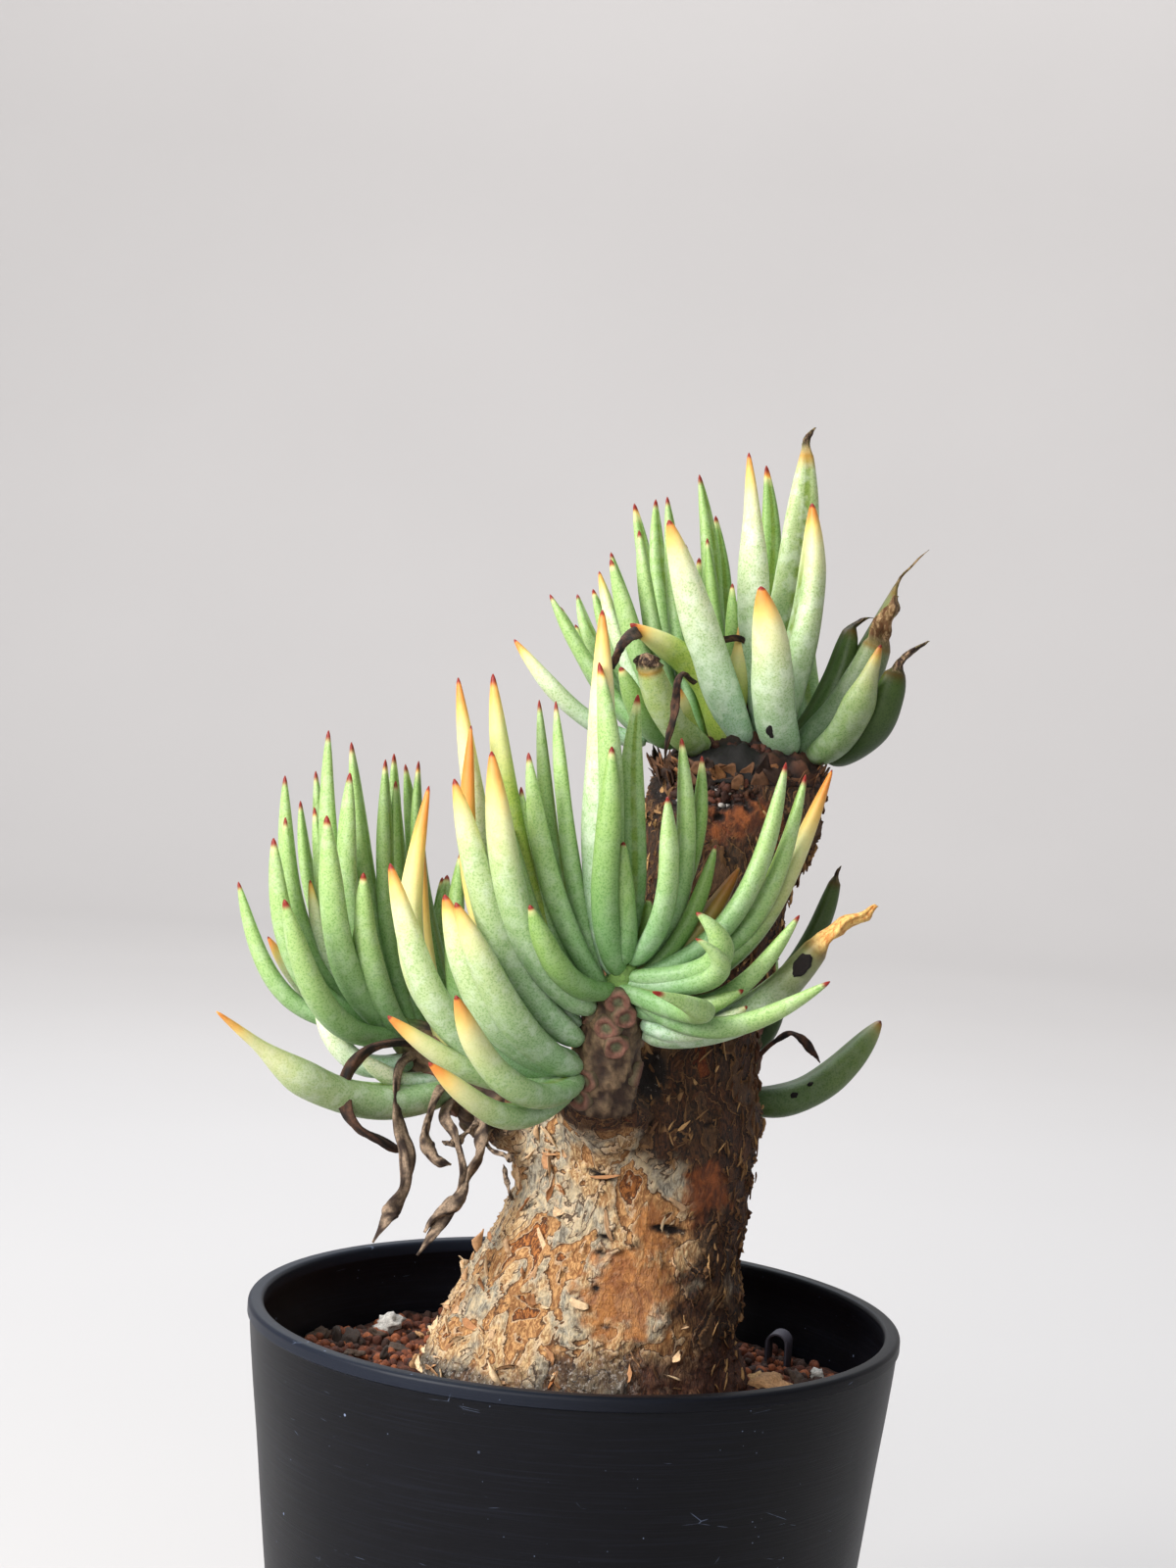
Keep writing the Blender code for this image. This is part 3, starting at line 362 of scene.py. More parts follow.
# Loose things on the soil: x, y, length, kind
SOIL_PIECES = [
    (-36.4, 30.1, 5.8, "pumice"), (-29.6, 27.2, 2.6, "tan"), (-28.9, 3.6, 3.4, "tan"),
    (-42, 14.9, 4.8, "bark"), (-37.7, 20.5, 5.0, "bark"), (-33.4, 14.1, 4.0, "bark"),
    (-49.1, 24.5, 4.6, "bark"), (-45.2, 18.6, 4.4, "bark"), (-35.3, 7.8, 3.6, "bark"),
    (-41, 4, 4.2, "bark"), (-44, -4, 3.8, "bark"), (37.6, 3.4, 7.4, "tan"), (35, 9, 3.8, "tan"),
    (47.4, 14.8, 3.4, "pumice"), (43.5, 11.1, 5.0, "bark"), (36, -12, 4.4, "bark"),
    (10, -44, 4.6, "tan"), (-18, -40, 5.0, "bark"), (24, -38, 4.2, "pumice"), (-6, 44, 4.8, "bark"),
    (22, 42, 4.0, "tan"), (-30, -32, 3.6, "pumice"),
]

# Studio: floor, sweep, height of the backdrop, and where the lights aim
FLOOR_RADIUS = 1900.0
SWEEP_RADIUS = 900.0
BACKDROP_TOP = 1500.0
STAGE_SIDES = 72
LIGHT_AIM = (0.0, 0.0, 165.0)
BACKDROP_AIM = (0.0, 2800.0, 500.0)
SKY_COLOUR = (0.88, 0.93, 1.0, 1.0)
SKY_STRENGTH = 0.42


def srgb(red, green, blue):
    """Linear colour of a screen colour given from 0 to 255."""
    return tuple((c / 255.0) ** 2.2 for c in (red, green, blue))


SOIL_TINTS = {
    "granule": (srgb(116, 62, 38), srgb(146, 82, 50), srgb(84, 44, 30), srgb(58, 36, 28)),
    "pumice": (srgb(200, 196, 190),),
    "tan": (srgb(200, 158, 108), srgb(182, 138, 96)),
    "bark": (srgb(54, 42, 36), srgb(80, 64, 54)),
}


def smoothstep(low, high, value):
    share = min(max((value - low) / (high - low), 0.0), 1.0)
    return share * share * (3.0 - 2.0 * share)


def blend(a, b, share):
    return tuple(x + (y - x) * share for x, y in zip(a, b))


def all_round(sides):
    """Angles of evenly spaced points round a circle."""
    return [math.tau * i / sides for i in range(sides)]


def on_oval(section, angle, z, inset=0.0):
    """Point on an oval given by its centre, half width and half depth."""
    cx, cy, half_width, half_depth = section
    return Vector((cx + (half_width - inset) * math.cos(angle), cy + (half_depth - inset) * math.sin(angle), z))


def off_oval(section, angle):
    """Direction that points straight out of an oval."""
    return Vector((math.cos(angle) / section[2], math.sin(angle) / section[3], 0.0)).normalized()


def turned(side, other, angle):
    return side * math.cos(angle) + other * math.sin(angle)


def lumps(point, size, octaves, smoothing=0.8):
    """Fractal noise around 0 whose broadest lumps have about this size."""
    return noise.fractal(point / size, smoothing, 2.0, octaves)


def between(rows, key):
    """Smooth curve through rows that are sorted by their first value."""
    if key <= rows[0][0]:
        return rows[0][1:]
    for i in range(len(rows) - 1):
        if key <= rows[i + 1][0]:
            break
    else:
        return rows[-1][1:]
    low, high = rows[i], rows[i + 1]
    before, after = rows[max(i - 1, 0)], rows[min(i + 2, len(rows) - 1)]
    span = high[0] - low[0]
    t = (key - low[0]) / span
    values = []
    for k in range(1, len(low)):
        slope_low = (high[k] - before[k]) / (high[0] - before[0]) * span
        slope_high = (after[k] - low[k]) / (after[0] - low[0]) * span
        rise = high[k] - low[k]
        values.append(
            low[k] + t * slope_low + t**2 * (3 * rise - 2 * slope_low - slope_high)
            + t**3 * (slope_low + slope_high - 2 * rise))
    return values


def add_object(name, data):
    made = bpy.data.objects.new(name, data)
    bpy.context.scene.collection.objects.link(made)
    return made


def face_outwards(mesh):
    faces = bmesh.new()
    faces.from_mesh(mesh)
    bmesh.ops.recalc_face_normals(faces, faces=faces.faces)
    faces.to_mesh(mesh)
    faces.free()


class Shape:
    """Points, faces and named values of one piece, in millimetres until it is built."""

    def __init__(self, *value_names):
        self.points = []
        self.faces = []
        self.values = {name: [] for name in value_names}

    def add(self, points, faces, **values):
        first = len(self.points)
        self.points += [tuple(p) for p in points]
        self.faces += [tuple(first + i for i in face) for face in faces]
        for name, column in self.values.items():
            given = values[name]
            column += given if isinstance(given, list) else [given] * len(points)

    def build(self, name, material, slot, *nodes):
        mesh = bpy.data.meshes.new(name)
        mesh.from_pydata([tuple(c * MM for c in p) for p in self.points], [], self.faces)
        for value_name, column in self.values.items():
            attribute = mesh.attributes.new(value_name, "FLOAT_VECTOR", "POINT")
            attribute.data.foreach_set("vector", [c for row in column for c in row])
        face_outwards(mesh)
        mesh.shade_smooth()
        mesh.materials.append(material)
        dress(add_object(name, mesh), slot, *nodes)


def dress(piece, slot, *nodes):
    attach(piece, "root")
    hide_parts(*nodes)


def loft_faces(rings, sides):
    """Faces of a closed tube through rings of equal point count, with flat ends."""
    faces = [tuple(reversed(range(sides)))]
    for level in range(rings - 1):
        low = level * sides
        for i in range(sides):
            j = (i + 1) % sides
            faces.append((low + i, low + j, low + sides + j, low + sides + i))
    last = (rings - 1) * sides
    faces.append(tuple(range(last, last + sides)))
    return faces


class Finish:
    """Short calls that build one node material. Patterns are measured in millimetres."""

    def __init__(self, name, roughness):
        self.material = bpy.data.materials.new(name)
        self.material.use_nodes = True
        self.tree = self.material.node_tree
        self.surface = self.tree.nodes["Principled BSDF"]
        self.surface.inputs["Roughness"].default_value = roughness
        metres = self.node("ShaderNodeTexCoord").outputs["Object"]
        scale = self.node("ShaderNodeVectorMath", operation="SCALE")
        scale.inputs["Scale"].default_value = 1.0 / MM
        self.tree.links.new(metres, scale.inputs[0])
        self.place = scale.outputs[0]

    def node(self, kind, **settings):
        node = self.tree.nodes.new(kind)
        for key, value in settings.items():
            setattr(node, key, value)
        return node

    def feed(self, socket, source):
        if isinstance(source, bpy.types.NodeSocket):
            self.tree.links.new(source, socket)
        elif isinstance(source, tuple) and len(source) == 3 and socket.type == "RGBA":
            socket.default_value = (*source, 1.0)
        else:
            socket.default_value = source

    def math(self, operation, *values):
        node = self.node("ShaderNodeMath", operation=operation)
        for socket, value in zip(node.inputs, values):
            self.feed(socket, value)
        return node.outputs[0]

    def times(self, a, b):
        return self.math("MULTIPLY", a, b)

    def line(self, value, factor, start):
        """The value times the factor, added to the start."""
        return self.math("MULTIPLY_ADD", value, factor, start)

    def stretch(self, x, y, z):
        """Place in the pattern, with each axis multiplied."""
        node = self.node("ShaderNodeVectorMath", operation="MULTIPLY")
        self.feed(node.inputs[0], self.place)
        node.inputs[1].default_value = (x, y, z)
        return node.outputs[0]

    def axis(self, name):
        """One coordinate of the place, in millimetres."""
        parts = self.node("ShaderNodeSeparateXYZ")
        self.feed(parts.inputs[0], self.place)
        return parts.outputs[name]

    def step(self, value, low, high):
        node = self.node("ShaderNodeMapRange", interpolation_type="SMOOTHSTEP")
        self.feed(node.inputs["Value"], value)
        self.feed(node.inputs["From Min"], low)
        self.feed(node.inputs["From Max"], high)
        return node.outputs["Result"]

    def mix(self, share, a, b, kind="MIX"):
        node = self.node("ShaderNodeMix", data_type="RGBA", blend_type=kind)
        self.feed(node.inputs[0], share)
        self.feed(node.inputs[6], a)
        self.feed(node.inputs[7], b)
        return node.outputs[2]

    def tones(self, value, low, high, a, b):
        """Colour that turns from one to the other while the value goes from low to high."""
        return self.mix(self.step(value, low, high), a, b)

    def cover(self, body, share, strength, colour):
        """Colour laid over the body where the share is high, at a part of its strength."""
        return self.mix(self.times(share, strength), body, colour)

    def noise(self, size, detail=3.0, rough=0.55, distort=0.0, place=None):
        node = self.node("ShaderNodeTexNoise")
        self.feed(node.inputs["Vector"], place or self.place)
        node.inputs["Scale"].default_value = 1.0 / size
        node.inputs["Detail"].default_value = detail
        node.inputs["Roughness"].default_value = rough
        node.inputs["Distortion"].default_value = distort
        return node.outputs[0]

    def cells(self, size, feature="F1", place=None):
        """Distance to the middle or the edge of scattered cells."""
        node = self.node("ShaderNodeTexVoronoi", feature=feature)
        self.feed(node.inputs["Vector"], place or self.place)
        node.inputs["Scale"].default_value = 1.0 / size
        return node.outputs["Distance"]

    def values(self, name):
        """The three parts of a named value that the mesh carries."""
        source = self.node("ShaderNodeAttribute", attribute_name=name)
        parts = self.node("ShaderNodeSeparateXYZ")
        self.tree.links.new(source.outputs["Vector"], parts.inputs[0])
        return parts.outputs

    def colour_of(self, name):
        return self.node("ShaderNodeAttribute", attribute_name=name).outputs["Color"]

    def bump(self, height, depth, under=None):
        node = self.node("ShaderNodeBump")
        node.inputs["Strength"].default_value = 1.0
        node.inputs["Distance"].default_value = depth * MM
        self.feed(node.inputs["Height"], height)
        if under:
            self.tree.links.new(under, node.inputs["Normal"])
        return node.outputs[0]

    def done(self, colour, roughness=None, normal=None):
        self.feed(self.surface.inputs["Base Color"], colour)
        if roughness is not None:
            self.feed(self.surface.inputs["Roughness"], roughness)
        if normal is not None:
            self.feed(self.surface.inputs["Normal"], normal)
        return self.material


def leaf_finish():
    """Waxy skin: blue-grey at the root, fresh green above, yellow, orange and red towards the tip."""
    look = Finish("waxy_leaf", 0.46)
    along, around, chance = look.values("leaf_place")
    warm, red, bloom = look.values("leaf_tints")
    dark, lime, dry = look.values("leaf_state")
    gold, shoulder, _ = look.values("leaf_husk")
    blotch = look.noise(8.0, 3.0)
    wrinkle = look.noise(2.6, 4.0)
    wander = look.line(look.math("SUBTRACT", blotch, 0.5), 0.14, along)

    def zone(place, stretch, low, high):
        """How far a place is into a zone, whose ends are shares of the tip's coloured stretch."""
        start = look.math("SUBTRACT", 1.0, stretch)
        return look.step(place, look.line(stretch, low, start), look.line(stretch, high, start))

    # Green and blue-grey skin
    rise = look.step(wander, 0.10, 0.85)
    grey = look.mix(rise, srgb(162, 190, 168), srgb(222, 226, 190))
    green = look.mix(rise, srgb(106, 148, 88), srgb(146, 182, 98))
    body = look.mix(bloom, green, grey)
    body = look.cover(body, chance, 0.22, srgb(148, 182, 104))
    body = look.mix(lime, body, look.mix(blotch, srgb(128, 152, 52), srgb(186, 192, 84)))
    # Greener inner face and channel
    body = look.cover(body, look.step(around, 0.35, 1.0), 0.30, srgb(108, 150, 70))
    body = look.cover(body, look.step(around, 0.93, 1.0), 0.8, srgb(116, 140, 44))
    # Speckles and powder
    grain = look.noise(0.36, 2.0, 0.6)
    speckled = look.mix(1.0, body, (0.50, 0.66, 0.40), "MULTIPLY")
    body = look.cover(body, look.step(grain, 0.52, 0.38), 0.70, speckled)
    body = look.cover(body, look.step(wrinkle, 0.44, 0.66), look.line(bloom, 0.34, 0.04), srgb(232, 240, 228))
    # Yellow, orange and red towards the tip
    for low, high, strength, colour in (
            (-1.8, 0.3, 0.75, srgb(226, 218, 160)), (-0.35, 0.55, 0.85, srgb(232, 190, 96)),
            (0.15, 0.95, 0.85, srgb(212, 112, 42))):
        body = look.cover(body, zone(wander, warm, low, high), strength, colour)
    has_red = look.math("GREATER_THAN", red, 0.001)
    body = look.cover(body, zone(along, red, -0.8, 0.3), has_red, srgb(132, 38, 30))
    # Leaves darkened by their own duller tone and by painted shade, and dry ends with the brown edge where they
    # begin
    body = look.mix(shoulder, body, look.mix(gold, srgb(176, 126, 40), srgb(196, 156, 84)))
    dimmed = look.mix(1.0, body, look.mix(blotch, (0.09, 0.11, 0.05), (0.22, 0.24, 0.15)), "MULTIPLY")
    body = look.mix(dark, body, dimmed)
    streak = look.noise(0.9, 4.0, 0.7, 0.6, look.stretch(1.0, 1.0, 0.4))
    husk = look.tones(streak, 0.45, 0.70, srgb(40, 26, 20), srgb(150, 122, 96))
    straw = look.tones(streak, 0.3, 0.65, srgb(172, 104, 48), srgb(222, 182, 112))
    body = look.mix(dry, body, look.mix(gold, husk, straw))
    roughness = look.line(dry, 0.35, look.line(blotch, 0.12, 0.42))
    normal = look.bump(wrinkle, 0.12, look.bump(grain, 0.05))
    look.surface.inputs["Subsurface Weight"].default_value = 0.12
    look.surface.inputs["Subsurface Radius"].default_value = (0.6, 1.0, 0.25)
    look.surface.inputs["Subsurface Scale"].default_value = 0.003
    look.surface.inputs["Specular IOR Level"].default_value = 0.34
    return look.done(body, roughness, normal)


def bark_finish():
    """Papery bark: silver and cream sheets low on the left, dark brown ones above, orange-brown where bare."""
    look = Finish("papery_bark", 0.8)
    layer, dark, bare = look.values("bark_sheets")
    wound_and_shade, dirt, rust = look.values("bark_marks")
    fine = look.noise(0.7, 5.0, 0.72)
    broad = look.noise(11.0, 3.0, 0.55)
    fibres = look.noise(0.9, 4.0, 0.68, 1.6, look.stretch(1.0, 1.0, 0.36))
    wrinkles = look.noise(3.0, 4.0, 0.62, 1.2, look.stretch(1.0, 1.0, 0.6))
    strand = look.step(fibres, 0.40, 0.62)
    sheet = look.line(look.math("SUBTRACT", fine, 0.5), 0.3, layer)

    def stacked(lowest, *upper):
        """Colour of the sheet that shows, from the lowest one up, with a short change at each edge."""
        colour = lowest
        for number, above in enumerate(upper, 1):
            colour = look.tones(sheet, number - 0.08, number, colour, above)
        return colour

    # Pale sheets of the foot
    silver = look.mix(strand, srgb(110, 102, 90), srgb(180, 170, 150))
    silver = look.tones(wrinkles, 0.42, 0.66, silver, srgb(206, 184, 148))
    cream = look.mix(strand, srgb(150, 108, 68), srgb(220, 186, 138))
    tan = look.mix(strand, srgb(136, 90, 52), srgb(206, 156, 102))
    orange = look.mix(strand, srgb(92, 50, 24), srgb(182, 114, 58))
    silver_or_cream = [look.tones(broad, low, low + 0.12, silver, cream) for low in (0.46, 0.50)]
    pale = stacked(orange, tan, *silver_or_cream)
    # Brown sheets above and on the right; on the right their darkness is partly painted shade
    umber = look.mix(strand, srgb(40, 23, 13), srgb(88, 54, 30))
    olive = look.mix(strand, srgb(40, 27, 17), srgb(84, 58, 36))
    russet = look.mix(strand, srgb(80, 36, 14), srgb(130, 68, 30))
    umber_or_olive = look.tones(broad, 0.4, 0.6, umber, olive)
    brown = stacked(russet, umber, umber_or_olive, look.mix(0.3, olive, srgb(116, 82, 54)))
    body = look.mix(dark, pale, brown)
    # Curled lips of the sheets, a cream edge partly painted as a highlight, and the painted shadow under them
    fraction = look.math("FRACT", sheet)
    curled = look.mix(dark, look.mix(fine, srgb(190, 144, 100), srgb(238, 220, 190)), srgb(170, 122, 74))
    body = look.cover(body, look.step(fraction, 0.20, 0.08), look.line(dark, -0.25, 0.6), curled)
    shadow = look.mix(dark, srgb(62, 38, 24), srgb(24, 14, 9))
    body = look.cover(body, look.step(fraction, 0.78, 0.97), 0.9, shadow)
    # Bare and rusty patches
    skin = look.tones(wrinkles, 0.3, 0.7, srgb(134, 76, 34), srgb(194, 128, 66))
    creases = look.noise(1.6, 3.0, 0.6, 0.8, look.stretch(0.4, 0.4, 1.6))
    skin = look.cover(skin, look.step(creases, 0.5, 0.62), 0.35, srgb(102, 54, 26))
    body = look.cover(body, bare, 0.88, skin)
    ember = look.tones(wrinkles, 0.35, 0.65, srgb(82, 40, 20), srgb(156, 84, 40))
    body = look.cover(body, rust, 0.75, ember)
    # Grime above the soil: black with pale grains on the left, reddish on the right
    grime = look.tones(look.noise(0.7, 3.0, 0.7), 0.52, 0.64, srgb(42, 38, 38), srgb(146, 142, 138))
    reddish = look.mix(strand, srgb(56, 30, 22), srgb(100, 60, 42))
    body = look.mix(dirt, body, look.tones(look.axis("X"), 8.0, 15.0, grime, reddish))
    # Gashes and the hollow: nearly black, with pale crumbs; the black is partly painted shade in these recesses
    hole = look.mix(fine, srgb(12, 8, 7), srgb(40, 24, 18))
    hole = look.tones(look.noise(1.2, 4.0, 0.75), 0.60, 0.70, hole, srgb(128, 118, 112))
    body = look.mix(wound_and_shade, body, hole)
    relief = look.line(fine, 0.3, look.line(fibres, 0.6, look.times(wrinkles, 0.8)))
    return look.done(body, look.line(bare, -0.22, 0.82), look.bump(relief, 0.9))


def grit_finish(name, roughness, grain, contrast, depth):
    """Rough finish for crumbs, scraps and dry strands: the mesh carries the tint, noise breaks it up."""
    look = Finish(name, roughness)
    tint = look.colour_of("tint")
    speckle = look.noise(grain, 4.0, 0.7)
    darker = look.mix(1.0, tint, (contrast, contrast, contrast), "MULTIPLY")
    return look.done(look.tones(speckle, 0.38, 0.62, darker, tint), None, look.bump(speckle, depth))


def plastic_finish():
    """Black moulded plastic: fine turning lines, dull sheen, a painted bluish highlight on the lip's left side,
    dust specks and a few short scratches.
    """
    look = Finish("black_plastic", 0.46)
    lines = look.noise(1.0, 4.0, 0.65, 0.0, look.stretch(0.05, 0.05, 2.6))
    cloud = look.noise(26.0, 4.0, 0.6)
    base = look.mix(cloud, srgb(10, 11, 15), srgb(17, 18, 24))
    base = look.cover(base, look.step(lines, 0.48, 0.72), 0.25, srgb(34, 37, 48))

    def scattered(cells, near, full, region, low, high):
        """Marks at the cells' middles or edges, only where a broad noise is high."""
        return look.times(look.step(cells, near, full), look.step(look.noise(region, 2.0), low, high))

    dust = scattered(look.cells(5.2), 0.060, 0.030, 15.0, 0.47, 0.60)
    specks = scattered(look.cells(2.3), 0.060, 0.025, 18.0, 0.50, 0.60)
    cracks = look.cells(13.0, "DISTANCE_TO_EDGE", look.stretch(0.6, 0.6, 3.0))
    scratches = scattered(cracks, 0.006, 0.002, 8.0, 0.63, 0.68)
    # Painted highlight: a bluish sheen on the lip, strongest on its left
    under_lip = POT_HEIGHT - LIP_HEIGHT
    lip = look.step(look.axis("Z"), under_lip, under_lip + LIP_STEP)
    base = look.cover(base, lip, look.step(look.axis("X"), 30.0, -30.0), srgb(30, 34, 44))
    marks = look.math("MAXIMUM", dust, look.math("MAXIMUM", specks, look.times(scratches, 0.5)))
    colour = look.cover(base, marks, 0.55, srgb(150, 166, 200))
    roughness = look.line(marks, 0.2, look.line(cloud, 0.16, 0.36))
    look.surface.inputs["Specular IOR Level"].default_value = 0.16
    return look.done(colour, roughness, look.bump(lines, 0.06))


def soil_finish():
    look = Finish("dark_soil", 0.95)
    clods = look.noise(1.6, 5.0, 0.7)
    colour = look.tones(clods, 0.35, 0.65, srgb(38, 20, 14), srgb(104, 56, 34))
    return look.done(colour, None, look.bump(clods, 0.9))


def stage_finish():
    look = Finish("pale_backdrop", 0.9)
    return look.done(look.mix(look.noise(400.0, 2.0), srgb(184, 181, 180), srgb(190, 187, 186)))


def wall_radius(height):
    """Outer radius of the pot's wall at a height above its base."""
    rows = [(0.0, WALL_OUTLINE[0][1]), *WALL_OUTLINE, (POT_HEIGHT, FOOT_RADIUS)]
    return between(rows, POT_HEIGHT - height)[0]


def arc(centre, radius, start, end, steps):
    """Points of a round corner in the lathe outline, angles in degrees."""
    angles = [math.radians(start + (end - start) * i / steps) for i in range(steps + 1)]
    return [(centre[0] + radius * math.cos(a), centre[1] + radius * math.sin(a)) for a in angles]


def pot_outline():
    """Lathe outline of the pot: round lip, small step under it, drawn wall, foot ring, floor and inner wall."""
    lip_inner = RIM_RADIUS - LIP_WIDTH
    wall_drop = POT_HEIGHT - LIP_HEIGHT - WALL_FOOT
    wall_steps = [LIP_HEIGHT + wall_drop * i / OUTER_STEPS for i in range(OUTER_STEPS + 1)]
    outline = [(lip_inner, POT_HEIGHT - LIP_HEIGHT)]
    outline += arc((lip_inner + LIP_ROUND, POT_HEIGHT - LIP_ROUND), LIP_ROUND, 180, 90, 6)
    outline += arc((RIM_RADIUS - LIP_ROUND, POT_HEIGHT - LIP_ROUND), LIP_ROUND, 90, 0, 8)
    outline += [(RIM_RADIUS, POT_HEIGHT - LIP_HEIGHT + LIP_STEP)]
    outline += [(wall_radius(POT_HEIGHT - depth), POT_HEIGHT - depth) for depth in wall_steps]
    outline += arc((FOOT_RADIUS - FOOT_ROUND, FOOT_ROUND), FOOT_ROUND, 0, -90, 4)
    outline += [
        (FOOT_RADIUS - FOOT_WIDTH, 0.0),
        (FOOT_RADIUS - FOOT_WIDTH - RECESS_SLOPE, RECESS_HEIGHT),
        (CENTRE_DISC_RADIUS + RECESS_SLOPE, RECESS_HEIGHT),
        (CENTRE_DISC_RADIUS, 0.0),
        (0.0, 0.0),
        (0.0, FLOOR_TOP),
        (wall_radius(FLOOR_TOP) - WALL - CORNER_WIDTH, FLOOR_TOP),
    ]
    inner_rise = POT_HEIGHT - LIP_HEIGHT - FLOOR_TOP - (CORNER_HEIGHT + UNDER_LIP)
    inner = [FLOOR_TOP + CORNER_HEIGHT + inner_rise * i / INNER_STEPS for i in range(INNER_STEPS + 1)]
    outline += [(wall_radius(height) - WALL, height) for height in inner]
    return outline


def make_pot(material):
    """Turned plastic shell with drain holes in its floor."""
    outline = pot_outline()
    mesh = bpy.data.meshes.new("pot_shell")
    edges = [(i, (i + 1) % len(outline)) for i in range(len(outline))]
    floor_centre = outline.index((0.0, 0.0))
    edges.remove((floor_centre, floor_centre + 1))
    mesh.from_pydata([(r * MM, 0.0, z * MM) for r, z in outline], edges, [])
    pot = add_object("pot_shell", mesh)
    turn = pot.modifiers.new("turn", "SCREW")
    turn.steps = POT_SIDES
    turn.render_steps = POT_SIDES
    turn.use_merge_vertices = True
    turn.merge_threshold = MERGE_DISTANCE
    cutters = make_drain_cutters()
    holes = pot.modifiers.new("drain_holes", "BOOLEAN")
    holes.operation = "DIFFERENCE"
    holes.object = cutters
    holes.solver = "EXACT"
    bpy.context.view_layer.update()
    pot.data = bpy.data.meshes.new_from_object(pot.evaluated_get(bpy.context.evaluated_depsgraph_get()))
    pot.modifiers.clear()
    bpy.data.objects.remove(cutters, do_unlink=True)
    face_outwards(pot.data)
    pot.data.shade_smooth()
    pot.data.set_sharp_from_angle(angle=math.radians(EDGE_ANGLE))
    pot.data.materials.clear()
    pot.data.materials.append(material)
    dress(pot, "pot", "pot")


def make_drain_cutters():
    """Pins that cut the round drain holes in the pot's floor."""
    mesh = bpy.data.meshes.new("drain_cutters")
    points = []
    faces = []
    for i in range(DRAIN_COUNT):
        angle = math.tau * (i + 0.5) / DRAIN_COUNT
        cx, cy = DRAIN_RING * math.cos(angle), DRAIN_RING * math.sin(angle)
        first = len(points)
        for z in (-PIN_MARGIN, FLOOR_TOP + PIN_MARGIN):
            for a in all_round(PIN_SIDES):
                x, y = cx + DRAIN_RADIUS * math.cos(a), cy + DRAIN_RADIUS * math.sin(a)
                points.append((x * MM, y * MM, z * MM))
        faces += [tuple(first + k for k in face) for face in loft_faces(2, PIN_SIDES)]
    mesh.from_pydata(points, [], faces)
    return add_object("drain_cutters", mesh)


def soil_height(x, y):
    """Crumbly surface: soft mounds, coarse crumbs, and a heap of bark lumps at the left wall."""
    crumbs = noise.noise(Vector((x / CRUMB_SIZE, y / CRUMB_SIZE, 2.0))) * CRUMB_HEIGHT
    mounds = noise.noise(Vector((x / MOUND_SIZE, y / MOUND_SIZE, 9.0))) * MOUND_HEIGHT
    heap = HEAP_HEIGHT * math.exp(-((x - HEAP_PLACE[0]) ** 2 + (y - HEAP_PLACE[1]) ** 2) / HEAP_SPREAD)
    return SOIL_TOP + crumbs + mounds + heap


def make_soil(material):
    """Plug of soil that fills the pot, with a fine crumbly top. The caudex stands through it."""
    turns = all_round(SOIL_SIDES)
    side_heights = (FLOOR_TOP + 0.3, SOIL_TOP * 0.5, SOIL_TOP - 2.0)
    points = []
    for height in side_heights:
        radius = wall_radius(height) - WALL - SOIL_CLEARANCE
        points += [(radius * math.cos(a), radius * math.sin(a), height) for a in turns]
    top_radius = wall_radius(SOIL_TOP) - WALL - SOIL_CLEARANCE
    for level in range(SOIL_RINGS):
        radius = top_radius * (1.0 - level / SOIL_RINGS)
        for a in turns:
            x, y = radius * math.cos(a), radius * math.sin(a)
            clods = lumps(Vector((x, y, 4.0)), CLOD_SIZE, 3)
            points.append((x, y, soil_height(x, y) + CLOD_HEIGHT * clods - 0.5))
    shape = Shape()
    shape.add(points, loft_faces(len(side_heights) + SOIL_RINGS, SOIL_SIDES))
    shape.build("soil_bed", material, "soil", "soil")


def ball_template(detail):
    ball = bmesh.new()
    bmesh.ops.create_icosphere(ball, subdivisions=detail, radius=1.0)
    points = [v.co.copy() for v in ball.verts]
    faces = [tuple(v.index for v in f.verts) for f in ball.faces]
    ball.free()
    return points, faces


def add_lump(shape, template, centre, radii, rough, tint, draw):
    """Irregular lump: a ball stretched, turned and roughened by noise."""
    points, faces = template
    angle = draw.uniform(0.0, math.tau)
    axis = Vector((draw.random(), draw.random(), draw.random() + 0.1))
    turn = Matrix.Rotation(angle, 3, axis)
    offset = Vector((draw.uniform(0, 90), draw.uniform(0, 90), 0.0))
    placed = []
    for p in points:
        swell = 1.0 + rough * noise.noise(p * 1.3 + offset) + 0.4 * rough * noise.noise(p * 3.1 + offset)
        q = turn @ Vector((p.x * radii[0], p.y * radii[1], p.z * radii[2])) * swell
        placed.append(tuple(centre + q))
    shape.add(placed, faces, tint=tint)


def trunk_clearance(x, y):
    """How far outside the caudex a point on the soil lies, as a share of the caudex's section."""
    cx, cy, half_width, half_depth = trunk_section(SOIL_TOP + 2.0)
    return math.hypot((x - cx) / half_width, (y - cy) / half_depth)


